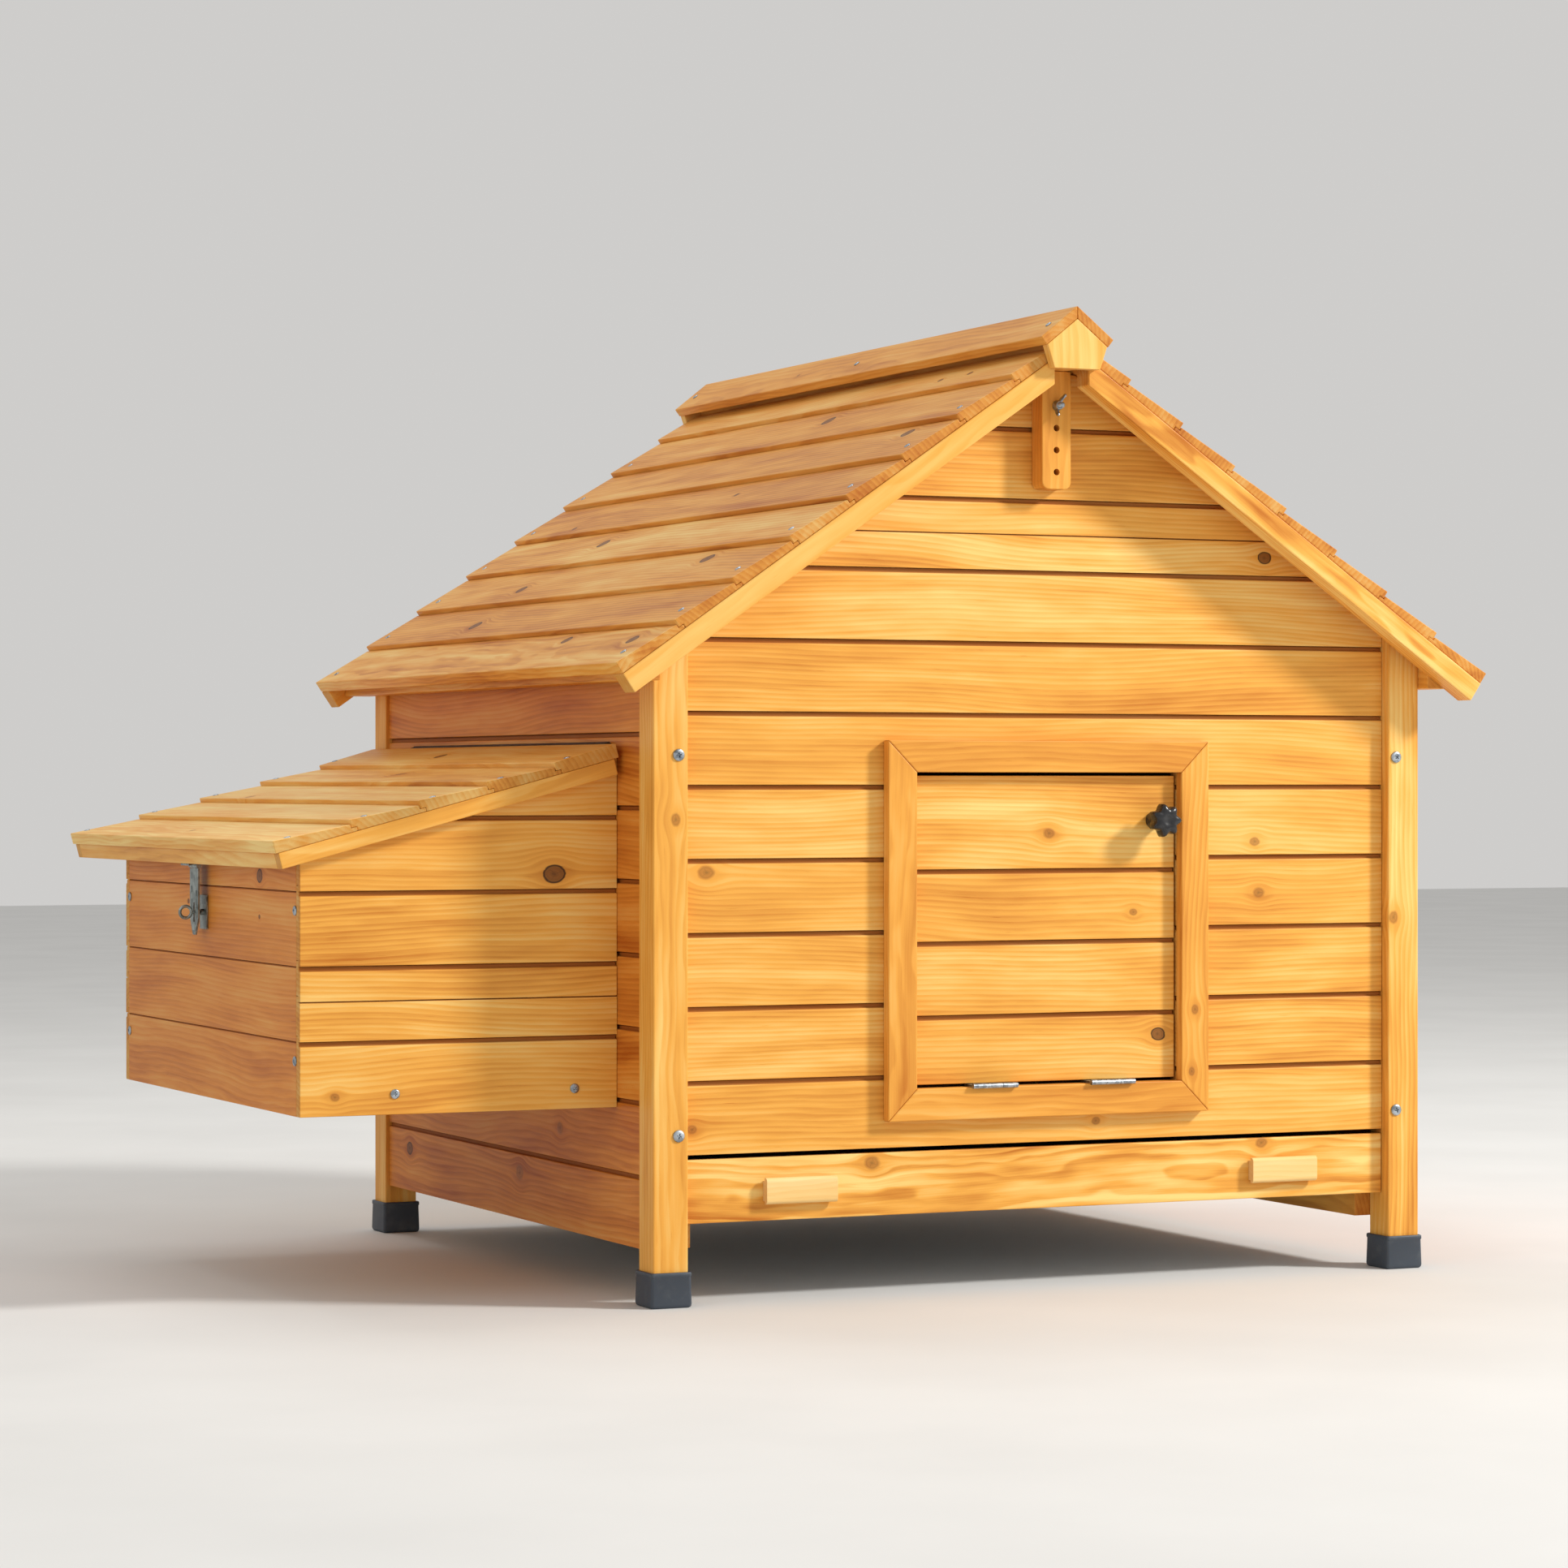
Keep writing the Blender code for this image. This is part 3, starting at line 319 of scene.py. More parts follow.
# Near-black zinc for the lid hinge: painted shade, so the hinge reads as the dark gap where the lid meets
# the wall.
SHADOW_DARK_ZINC = metal("shadow_dark_zinc", (0.15, 0.12, 0.09), (0.05, 0.04, 0.03), 0.60, 70.0, 180.0)
OLD_ZINC = metal("dull_zinc", (0.40, 0.44, 0.42), (0.10, 0.12, 0.115), 0.38, 70.0, 180.0)
SHEET = metal("galvanised_sheet", (0.70, 0.72, 0.73), (0.48, 0.50, 0.52), 0.42, 25.0, 70.0)
BLACK = plastic("black_knob", (0.012, 0.012, 0.014), (0.030, 0.030, 0.032), 0.26, 900.0)
SLATE = plastic("slate_foot", (0.042, 0.055, 0.075), (0.085, 0.10, 0.115), 0.50, 1400.0)


# ---- Boards
NO_KNOT = Vector((500.0, 0.0, 0.001))   # too far away to show


class Log:
    """Where in a log a board was sawn, its tone, and its knots: (u, v, radius), in the board's own axes.

    A negative radius is a dead knot with a black ring. A darker tone with a strong red tint is painted
    shade on boards that face away from the light.
    """

    def __init__(self, knots=(), tone=None, contrast=1.0, red=0.0, spread=0.10):
        turn = DRAW.uniform(-1.25, 1.25)
        reach = DRAW.uniform(0.05, 0.13)
        self.offset = Vector((DRAW.uniform(-9, 9), reach * math.sin(turn), reach * math.cos(turn)))
        self.tone = DRAW.gauss(0, spread) if tone is None else tone
        self.contrast = contrast * DRAW.uniform(0.8, 1.15)
        self.red = red
        self.knots = list(knots)

    def knot(self, i):
        if i >= len(self.knots):
            return NO_KNOT
        u, v, radius = self.knots[i]
        return Vector((u + self.offset.x, v + self.offset.y, radius))


def some_knots(low, high, bottom, top, chance=0.5, size=0.006):
    """One or two knots at random places on a board."""
    found = []
    for odds in (chance, chance * 0.45):
        draws = [DRAW.random() for _ in range(5)]
        if draws[0] < odds:
            u = low + (high - low) * (0.06 + 0.88 * draws[1])
            v = bottom + (top - bottom) * (0.15 + 0.7 * draws[2])
            radius = size * (0.5 + draws[3])
            found.append((u, v, -radius if draws[4] < 0.4 else radius))
    return found


class Axes:
    """A board's own axes in the world: outline coordinates (a, b), length c, and where they start."""

    def __init__(self, origin, a, b, c):
        self.matrix = Matrix((a, b, c)).transposed().to_4x4()
        self.matrix.translation = origin
        self.inverse = self.matrix.inverted()
        self.turn_back = self.matrix.to_3x3().inverted()
        self.out = b


UPRIGHT = Axes(Vector(), X, Z, Y)


def solid(outline, axes, low, high):
    """A new bmesh with one prism in world coordinates."""
    bm = bmesh.new()
    ends = [[bm.verts.new(axes.matrix @ Vector((a, b, at))) for a, b in outline] for at in (low, high)]
    bm.faces.new(ends[0])
    bm.faces.new(ends[1])
    for i in range(len(outline)):
        j = (i + 1) % len(outline)
        bm.faces.new((ends[0][i], ends[0][j], ends[1][j], ends[1][i]))
    bmesh.ops.recalc_face_normals(bm, faces=bm.faces)
    return bm


def saw(bm, point, normal):
    """Cuts off what lies on the normal's side of a plane, and closes the cut."""
    geometry = bm.verts[:] + bm.edges[:] + bm.faces[:]
    cut = bmesh.ops.bisect_plane(bm, geom=geometry, plane_co=point, plane_no=normal, clear_outer=True)
    edges = [e for e in cut["geom_cut"] if isinstance(e, bmesh.types.BMEdge)]
    if edges:
        bmesh.ops.contextual_create(bm, geom=edges)
        bmesh.ops.recalc_face_normals(bm, faces=bm.faces)


def round_edges(bm, width):
    """Rounds the outward edges, leaving nearly flat ones."""
    least = math.radians(20)
    if width:
        sharp = [e for e in bm.edges if e.is_manifold and e.is_convex and e.calc_face_angle(0.0) > least]
        bmesh.ops.bevel(
            bm, geom=sharp, offset=width, segments=2, profile=0.5, affect="EDGES", clamp_overlap=True
        )


class Timber:
    """The boards that stand for one CAD node, gathered into one mesh."""

    def __init__(self, node):
        self.node = node
        self.bm = bmesh.new()
        self.grain = self.bm.loops.layers.float_vector.new("grain")
        self.look = self.bm.faces.layers.float_vector.new("look")
        self.knots = [self.bm.faces.layers.float_vector.new(name) for name in ("knot_a", "knot_b")]
        self.stain_and_shade = self.bm.faces.layers.float.new("stain_and_shade")

    def add(self, outline, axes, low, high, log, along="c", cuts=(), edge=EDGE, recess=None, drill=()):
        """One board. along names the axis that the grain follows; recess is the groove's range of b."""
        part = solid(outline, axes, low, high)
        for point, normal in cuts:
            saw(part, point, normal)
        if not part.faces:
            part.free()
            return
        round_edges(part, edge)
        if drill:
            part = drilled(part, drill)
        self.take(part, axes, log, along, recess)

    def take(self, part, axes, log, along, recess):
        order = {"a": (0, 1, 2), "b": (1, 0, 2), "c": (2, 0, 1)}[along]
        copies = {v: self.bm.verts.new(v.co) for v in part.verts}
        for face in part.faces:
            made = self.bm.faces.new([copies[v] for v in face.verts])
            made[self.look] = Vector((log.tone, log.contrast, log.red))
            made[self.knots[0]] = log.knot(0)
            made[self.knots[1]] = log.knot(1)
            normal = axes.turn_back @ face.normal
            middle = axes.inverse @ face.calc_center_median()
            made[self.stain_and_shade] = stain_and_shade_of(normal, middle, order, recess)
            for loop in made.loops:
                place = axes.inverse @ loop.vert.co
                loop[self.grain] = Vector([place[i] for i in order]) + log.offset
        part.free()

    def done(self, material=STAINED, slot="stained_wood"):
        stand_in(self.node, "timber", self.bm, material)


def stain_and_shade_of(normal, middle, order, recess):
    """How much darker a face is than planed wood. End grain soaks up more stain; the groove's floor is
    pooled stain with painted shade, and the faces between boards get painted shade.
    """
    if abs(normal[order[0]]) > 0.8:
        return 0.42
    if recess and recess[0] < middle.y < recess[1] and normal.y > 0.3:
        return 1.0
    if recess and abs(normal.x) > 0.6:
        return 0.7
    return 0.0


def publish(name, bm, material, body, smooth=None):
    """Turns bm into a piece that rides on a body."""
    mesh = mesh_of(bm, name)
    mesh.materials.append(material)
    if smooth:
        mesh.shade_smooth()
        mesh.set_sharp_from_angle(angle=math.radians(smooth))
    piece = loose(name, mesh)
    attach(piece, body)
    return piece


def stand_in(node, suffix, bm, material, smooth=None):
    """Puts a finer shape in the place of a CAD node."""
    piece = publish(f"{node}_{suffix}", bm, material, BODY_OF[node], smooth)
    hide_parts(node)


def mesh_of(bm, name):
    mesh = bpy.data.meshes.new(name)
    bm.to_mesh(mesh)
    bm.free()
    return mesh


def merge(bm, mesh):
    bm.from_mesh(mesh)
    bpy.data.meshes.remove(mesh)


def loose(name, data):
    """A new object in the scene."""
    obj = bpy.data.objects.new(name, data)
    bpy.context.collection.objects.link(obj)
    return obj


def drilled(bm, tools):
    """Cuts tools, each a bmesh, out of bm. The result is a new bmesh."""
    objects = [loose("drill", mesh_of(shape, "drill")) for shape in (bm, *tools)]
    for tool in objects[1:]:
        modifier = objects[0].modifiers.new("cut", "BOOLEAN")
        modifier.operation = "DIFFERENCE"
        modifier.solver = "EXACT"
        modifier.object = tool
    graph = bpy.context.evaluated_depsgraph_get()
    made = bmesh.new()
    made.from_object(objects[0], graph)
    for obj in objects:
        mesh = obj.data
        bpy.data.objects.remove(obj, do_unlink=True)
        bpy.data.meshes.remove(mesh)
    return made


def arc(a, b, radius, first, steps, turn=90.0):
    """Points of an arc round (a, b), from the angle first on, in degrees."""
    angles = [math.radians(first + turn * i / steps) for i in range(steps + 1)]
    return [(a + radius * math.cos(t), b + radius * math.sin(t)) for t in angles]


def turns(steps):
    return [2 * math.pi * i / steps for i in range(steps)]


def ring(centre, radius, steps, first=X, second=Z):
    """Points round a centre, from the first direction towards the second."""
    return [centre + radius * (math.cos(t) * first + math.sin(t) * second) for t in turns(steps)]


def rounded_rectangle(a0, b0, a1, b1, corner, steps):
    """A rectangle with an arc for each corner."""
    a0, b0, a1, b1 = a0 + corner, b0 + corner, a1 - corner, b1 - corner
    corners = enumerate(((a1, b1), (a0, b1), (a0, b0), (a1, b0)))
    return [point for i, (a, b) in corners for point in arc(a, b, corner, 90 * i, steps)]


def rectangle(a0, b0, a1, b1):
    return [(a0, b0), (a1, b0), (a1, b1), (a0, b1)]


def wall_section(bottom, top, thickness, first, last, groove, deep):
    """A lapped wall board: (height, depth) with depth 0 on the inner face."""
    half = thickness * 0.46
    floor = thickness - deep
    chamfer = min(GROOVE_CHAMFER, groove * 0.4)
    foot = bottom + GAP
    low = [(foot, 0), (foot, thickness)]
    if not first:
        low = [(foot + LAP, 0), (foot + LAP, half), (foot, half), (foot, thickness)]
    if last:
        return low + [(top, thickness), (top, 0)]
    return low + [
        (top - groove - chamfer, thickness), (top - groove, thickness - chamfer), (top - groove, floor),
        (top - GAP, floor), (top - GAP, half - GAP), (top + LAP, half - GAP), (top + LAP, 0),
    ]


def lengths(low, high, bottom, top, holes):
    """The lengths of a board that are left between the holes that cover its whole height."""
    whole = sorted(hole for hole in holes if hole[2] <= bottom and hole[3] >= top)
    left, start = [], low
    for hole in whole:
        left.append((start, hole[0]))
        start = hole[1]
    return left + [(start, high)]


def hole_block(axes, hole, depth):
    """A block that cuts a hole (low, high, bottom, top) through a wall."""
    low, high, bottom, top = hole
    return solid(rectangle(bottom, -depth, top, 2 * depth), axes, low, high)


def wall_axes(node, out):
    """Height, depth from the inner face, and length, of a wall whose outer face looks along out."""
    low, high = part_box(node)
    inner = high if out.x + out.y < 0 else low
    origin = Vector((inner.x * abs(out.x), inner.y * abs(out.y), 0))
    return Axes(origin, Z, out, X if out.y else Y)


def board_wall(
    node, out, joints, cuts=(), holes=(), knots=(), groove=GROOVE_WIDTH, deep=GROOVE_DEPTH,
    cracks=(), **look
):
    """A wall of lapped boards that faces along out, with holes (low, high, bottom, top) in it.

    Its joints are heights. Those that are also in cracks are thin splits.
    """
    axes = wall_axes(node, out)
    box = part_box(node)
    low, high = (corner.x if out.y else corner.y for corner in box)
    thickness = abs((box[1] - box[0]).dot(out))
    timber = Timber(node)
    last = len(joints) - 2
    for i, (bottom, top) in enumerate(zip(joints, joints[1:])):
        own = [knot for knot in knots if bottom <= knot[1] < top]
        extra = some_knots(low, high, bottom, top, 0.12 if knots else 0.45, 0.0050)
        log = Log((own + extra)[:2], **look)
        wide, cut = (CRACK_WIDTH, CRACK_DEPTH) if top in cracks else (groove, deep)
        section = wall_section(bottom, top, thickness, i == 0, i == last, wide, cut)
        proud = DRAW.uniform(-0.00025, 0.0)
        section = [(a, b + proud if b > thickness - GAP else b) for a, b in section]
        recess = (thickness - cut - RECESS_BAND, thickness - cut + RECESS_BAND)
        reach = top if i == last else top + LAP
        for start, end in lengths(low, high, bottom, reach, holes):
            cutters = [
                hole_block(axes, hole, thickness) for hole in holes
                if hole[0] < end and hole[1] > start and hole[2] < reach and hole[3] > bottom
            ]
            timber.add(section, axes, start, end, log, cuts=cuts, recess=recess, drill=cutters)
    timber.done()


def one_board(node, outline, log, axes=UPRIGHT, ends=None, finish=(), **how):
    """A node that is one board, as long as the node is in y unless ends says otherwise."""
    low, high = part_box(node)
    start, end = ends or (low.y, high.y)
    timber = Timber(node)
    timber.add(outline, axes, start, end, log, **how)
    timber.done(*finish)


def loose_board(name, body, outline, low, high, along):
    """A wooden piece that stands for no CAD node."""
    timber = Timber(name)
    timber.add(outline, UPRIGHT, low, high, Log(), along=along)
    publish(name, timber.bm, STAINED, body)


def under_slope(node, side):
    """A node's outline in x and z, its top sawn to one slope of the roof."""
    low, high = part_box(node)
    drop = ROOF_SLOPE * (high.x - low.x)
    left, right = (high.z - drop, high.z) if side < 0 else (high.z, high.z - drop)
    return [(low.x, low.z), (high.x, low.z), (high.x, right), (low.x, left)]


def upright_cut(x, side):
    """A plane for sawing off what is on the far side of x, seen from one side of the roof."""
    return Vector((x, 0, 0)), Vector((-side, 0, 0))


def joints_from(bottom, top, pitch=PITCH):
    """Heights of a wall's joints. What is left at the top joins the last board if it is very narrow."""
    count = int((top - bottom - GROOVE_WIDTH) / pitch)
    return [bottom + pitch * i for i in range(count + 1)] + [top]


# ---- House
def make_posts():
    for _, end in ENDS:
        for side, side_name in SIDES:
            node = f"post_{end}_{side_name}"
            low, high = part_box(node)
            knots = [(DRAW.uniform(0.2, 0.5), DRAW.uniform(low.x, high.x), 0.006)]
            if node == "post_front_left":
                knots = [(0.492, MIDDLE - 0.428, 0.0055)]
            one_board(node, under_slope(node, side), Log(knots, 0.02), along="b", edge=0.0012)
            make_foot(f"foot_cap_{end}_{side_name}")


def rounded_square(half, corner, z, centre):
    low, high = centre - half * (X + Y), centre + half * (X + Y)
    return [Vector((x, y, z)) for x, y in rounded_rectangle(low.x, low.y, high.x, high.y, corner, 5)]


def skin(bm, rings, closed=False):
    """Faces between rings of points with the same count. The ends get caps, or are joined if closed."""
    loops = [[bm.verts.new(point) for point in row] for row in rings]
    for lower, upper in zip(loops, loops[1:] + (loops[:1] if closed else [])):
        for i in range(len(lower)):
            j = (i + 1) % len(lower)
            bm.faces.new((lower[i], lower[j], upper[j], upper[i]))
    if not closed:
        bm.faces.new(loops[0][::-1])
        bm.faces.new(loops[-1])
    bmesh.ops.recalc_face_normals(bm, faces=bm.faces)


def make_foot(node):
    """A moulded square cup with a rolled rim and a softly flared foot."""
    low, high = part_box(node)
    centre = (low + high) / 2
    half, top = (high.x - low.x) / 2, high.z
    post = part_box(node.replace("foot_cap", "post"))
    hole = (post[1].x - post[0].x) / 2 + GAP
    profile = [
        (0.0, half - 0.0024), (0.0006, half - 0.0012), (0.0018, half - 0.0004), (0.0040, half),
        (top - 0.0050, half - 0.0007), (top - 0.0042, half - 0.0001), (top - 0.0012, half - 0.0001),
        (top - 0.0003, half - 0.0006), (top, half - 0.0014), (top - 0.0002, hole + 0.0006),
        (top - 0.0010, hole), (post[0].z - GAP, hole),
    ]
    bm = bmesh.new()
    skin(bm, [rounded_square(size, 0.0032 if size > hole else 0.0006, z, centre) for z, size in profile])
    stand_in(node, "moulded", bm, SLATE, 40)


def roof_cut(side, drop):
    """The plane drop metres under one slope, for sawing off what is above it."""
    eave_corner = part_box("roof_boards_left")[0]
    normal = Vector((side * math.sin(ROOF_ANGLE), 0, math.cos(ROOF_ANGLE)))
    reach = MIDDLE - eave_corner.x - SLAT_THICK * math.sin(ROOF_ANGLE)
    eave = Vector((MIDDLE + side * reach, 0, eave_corner.z))
    return eave - normal * drop, normal


def make_walls():
    slopes = [roof_cut(side, SAW_PLAY) for side, _ in SIDES]
    notch = 0.0038
    for outward, end in ENDS:
        node = f"wall_{end}"
        low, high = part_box(node)
        holes, knots = [(MIDDLE - notch, MIDDLE + notch, bolt_height(end) - notch, high.z + 1)], ()
        if end == "front":
            left, right, bottom, top = door_rails()
            holes.append((left[1].x, right[0].x, bottom[1].z, top[0].z))
            knots = front_knots()
        joints = joints_from(low.z, high.z)
        crack = joints[-4] + 0.5 * PITCH
        joints = sorted([*joints, crack])
        board_wall(node, Y * outward, joints, slopes, holes, knots, cracks=[crack], spread=0.085)
    left_knots = [(0.314, 0.105, -0.007), (-0.040, 0.106, 0.009), (-0.160, 0.163, 0.007)]
    for node, out, holes, knots in (
        ("wall_left", -X, nest_entrances(), left_knots), ("wall_right", X, (), ()),
    ):
        low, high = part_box(node)
        # The side walls get a darker tone and a strong red tint as painted shade.
        board_wall(node, out, joints_from(low.z, high.z), (), holes, knots, tone=0.16, red=0.85)


def bolt_height(end):
    low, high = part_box(f"vent_bolt_{end}")
    return (low.z + high.z) / 2


def door_rails():
    """The boxes of the four rails round the doorway."""
    return [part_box(f"door_frame_{name}") for name in ("left", "right", "bottom", "top")]


def front_knots():
    """Knots of the front boards, (x, z, radius)."""
    return [(MIDDLE + x, z, radius) for x, z, radius in (
        (-0.389, 0.438, 0.0075), (0.254, 0.466, 0.0052), (0.259, 0.411, 0.0058),
        (-0.405, 0.178, 0.0050), (0.266, 0.771, -0.0062), (0.060, 0.172, 0.0045),
    )]


def nest_entrances():
    """The two doorways from the house into the nest box, (low y, high y, bottom, top)."""
    width, bottom, top = 0.250, 0.245, 0.445
    return [(start, start + width, bottom, top) for start in (-0.285, 0.015)]


def make_door_frame():
    left, right, bottom, top = door_rails()
    x0, x1, x2, x3 = left[0].x, left[1].x, right[0].x, right[1].x
    z0, z1, z2, z3 = bottom[0].z, bottom[1].z, top[0].z, top[1].z
    mitre = GAP * 0.7
    rails = {
        "left": ([(x1, z1 + mitre), (x1, z2 - mitre), (x0, z3 - mitre), (x0, z0 + mitre)], "b"),
        "right": ([(x2, z1 + mitre), (x2, z2 - mitre), (x3, z3 - mitre), (x3, z0 + mitre)], "b"),
        "top": ([(x1 + mitre, z2), (x2 - mitre, z2), (x3 - mitre, z3), (x0 + mitre, z3)], "a"),
        "bottom": ([(x1 + mitre, z1), (x2 - mitre, z1), (x3 - mitre, z0), (x0 + mitre, z0)], "a"),
    }
    for name, (outline, along) in rails.items():
        knots = [(0.288, x2 + 0.016, 0.0045), (0.222, x2 + 0.012, 0.0040)] if name == "right" else ()
        log = Log(knots, 0.14, 0.8, 0.16)
        one_board(f"door_frame_{name}", outline, log, along=along, edge=0.0011)


def make_door():
    low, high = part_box("door_panel")
    joints = [low.z, 0.2870, 0.3637, 0.4387, high.z]
    knots = [
        (MIDDLE + 0.135, 0.262, -0.0065), (MIDDLE + 0.105, 0.392, 0.0040), (MIDDLE + 0.004, 0.476, 0.0058),
    ]
    board_wall("door_panel", -Y, joints, knots=knots, spread=0.07)
    half_width, thickness = 0.014, 0.012
    for name, x in (("left", MIDDLE - 0.110), ("right", MIDDLE + 0.078)):
        outline = rectangle(x - half_width, low.z + 0.012, x + half_width, high.z - 0.012)
        loose_board(f"door_ledge_{name}", "front_door", outline, high.y + GAP, high.y + thickness, "b")


# ---- Roof
def slat_section(start, end, thick, thin, first, last):
    """A lapped slat: (distance up the slope, height above the underside)."""
    foot, top, tongue = start + GAP, end - GAP, SLAT_TONGUE
    low = [(start, 0), (start, thick)]
    if not first:
        low = [(foot + LAP, 0), (foot + LAP, tongue), (foot, tongue), (foot, thick)]
    if last:
        return low + [(end, thin), (end, 0)]
    return low + [(top, thin), (top, tongue - GAP), (end + LAP, tongue - GAP), (end + LAP, 0)]


def slope_axes(side, angle, origin):
    """Up a slope, out of it, and along y."""
    up = Vector((-side * math.cos(angle), 0, math.sin(angle)))
    return Axes(origin, up, Vector((side * math.sin(angle), 0, math.cos(angle))), Y)


def make_roof():
    for side, name in SIDES:
        node = f"roof_boards_{name}"
        low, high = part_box(node)
        foot, _ = roof_cut(side, 0.0)
        axes = slope_axes(side, ROOF_ANGLE, foot)
        ridge_x = high.x if side < 0 else low.x
        length = abs(foot.x - ridge_x) / math.cos(ROOF_ANGLE)
        count = int(length / SLAT_PITCH) + 1
        timber = Timber(node)
        for i in range(count):
            last = i == count - 1
            start, end = SLAT_PITCH * i, SLAT_PITCH * (i + 1)
            knots = some_knots(low.y, high.y, start, end, 0.75, 0.0058)
            log = Log([(u, v, -abs(r)) for u, v, r in knots], contrast=1.25, red=0.25, spread=0.09)
            log.tone += 0.06
            section = slat_section(start, end, SLAT_THICK, SLAT_THIN, i == 0, last)
            short = DRAW.uniform(0.0, 0.0016), DRAW.uniform(0.0, 0.0016)
            cuts = [upright_cut(ridge_x, side)] if last else ()
            timber.add(section, axes, low.y + short[0], high.y - short[1], log, cuts=cuts, edge=0.0010)
        timber.done()
        make_slat_screws(name, axes, low.y, high.y, count)
        for _, end_name in ENDS:
            make_rafter(f"roof_rafter_{end_name}_{name}", side, axes, length)
        batten = f"roof_eave_batten_{name}"
        one_board(batten, under_slope(batten, side), Log((), 0.05), edge=0.0010)


def make_rafter(node, side, axes, length):
    low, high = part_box(node)
    height, spare = 0.0225, 0.03
    outline = rectangle(0.0, -GAP - height, length + spare, -GAP)
    log = Log((), 0.02, 1.9) if node == "roof_rafter_front_right" else Log((), -0.10, 0.7)
    ridge = upright_cut(high.x if side < 0 else low.x, side)
    one_board(node, outline, log, axes, along="a", cuts=[ridge], edge=0.0012)


def make_ridge():
    low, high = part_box("ridge_cap_board_left")
    reach = (MIDDLE - low.x) / math.cos(RIDGE_ANGLE)
    thick, spare, foot = 0.0103, 0.03, 0.0268
    for side, name in SIDES:
        axes = slope_axes(side, RIDGE_ANGLE, Vector((MIDDLE, 0, high.z)))
        outline = rectangle(-reach, -thick, spare, 0.0)
        log = Log(some_knots(low.y, high.y, -reach, 0, 0.6, 0.005), contrast=1.1, tone=0.10, red=0.30)
        ridge = upright_cut(MIDDLE + side * GAP / 2, side)
        one_board(f"ridge_cap_board_{name}", outline, log, axes, cuts=[ridge], edge=0.0009)
        spots = [axes.matrix @ Vector((-reach * 0.55, 0, y)) for y in (low.y + 0.020, 0.0, high.y - 0.020)]
        places = [(spot, axes.out) for spot in spots]
        make_screw_group(f"ridge_cap_screws_{name}", "ridge_cap", places, SMALL_SCREW)
    for _, end in ENDS:
        node = f"ridge_cap_end_{end}"
        low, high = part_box(node)
        eave_z = high.z - (high.x - low.x) / 2 * math.tan(RIDGE_ANGLE)
        outline = [
            (MIDDLE - foot, low.z), (MIDDLE + foot, low.z), (high.x, eave_z),
            (MIDDLE, high.z), (low.x, eave_z),
        ]
        one_board(node, outline, Log((), -0.12, 0.7), along="b", edge=0.0008)
        make_vent_bar(f"vent_bar_{end}")
    low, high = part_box("ridge_spine")
    one_board("ridge_spine", rectangle(low.x, low.z, high.x, high.z), Log())


def make_vent_bar(node):
    """A bar with rounded lower corners and a row of holes for the bolt."""
    low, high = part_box(node)
    corner, hole, spare = 0.008, 0.0035, 0.01
    hole_heights = (0.9233, 0.900, 0.877, 0.854)
    outline = [
        (high.x, high.z), (low.x, high.z),
        *arc(low.x + corner, low.z + corner, corner, 180, 5),
        *arc(high.x - corner, low.z + corner, corner, 270, 5),
    ]
    holes = [
        solid(arc(MIDDLE, z, hole, 7.5, 23, 345), UPRIGHT, low.y - spare, high.y + spare)
        for z in hole_heights
    ]
    one_board(node, outline, Log((), 0.10, 0.8, 0.15), along="b", edge=0.0010, drill=holes)


# ---- Fasteners
def dome_screw(radius, rise, cross, depth):
    """A pan-head screw with a cross recess, standing on z = 0."""
    rings = [ring(Vector(), radius * 0.96, 32, X, Y)]
    steps = 7
    for i in range(steps):
        angle = math.pi / 2 * i / steps
        height = rise * (0.30 + 0.70 * math.sin(angle))
        rings.append(ring(Z * height, radius * math.cos(angle) ** 0.55, 32, X, Y))
    bm = bmesh.new()
    skin(bm, rings)
    tip, above = cross * 0.45, 0.001
    wedge = [(-tip, rise - depth), (tip, rise - depth), (cross, rise + above), (-cross, rise + above)]
    half = radius * 0.10
    crossed = (UPRIGHT, Axes(Vector(), Y, Z, -X))
    return drilled(bm, [solid(wedge, axes, -half, half) for axes in crossed])


POST_SCREW = mesh_of(dome_screw(0.0063, 0.0026, 0.0034, 0.0018), "post_screw")
NEST_SCREW = mesh_of(dome_screw(0.0050, 0.0020, 0.0028, 0.0014), "nest_screw")
SMALL_SCREW = mesh_of(dome_screw(0.0036, 0.0012, 0.0020, 0.0009), "small_screw")


def make_screw_group(name, body, places, template):
    """Copies of one screw head at (point, outward direction), each turned at random, as one piece."""
    bm = bmesh.new()
    for point, outward in places:
        turn = outward.to_track_quat("Z", "Y").to_matrix().to_4x4()
        spin = Matrix.Rotation(DRAW.uniform(0, math.pi), 4, "Z")
        copy = template.copy()
        copy.transform(Matrix.Translation(point) @ turn @ spin)
        merge(bm, copy)
    publish(name, bm, ZINC, body, smooth=38)


def make_slat_screws(name, axes, front, back, count):
    """Two screws near the lower edge of each slat but the last."""
    up, inset = 0.020, 0.028
    height = SLAT_THICK - (SLAT_THICK - SLAT_THIN) * up / SLAT_PITCH - SCREW_SINK
    places = []
    for i in range(count - 1):
        for y in (front + inset, back - inset):
            along = SLAT_PITCH * i + up + DRAW.uniform(-0.003, 0.003)
            point = axes.matrix @ Vector((along, height, y + DRAW.uniform(-0.004, 0.004)))
            places.append((point, axes.out))
    make_screw_group(f"roof_screws_{name}", "house", places, SMALL_SCREW)


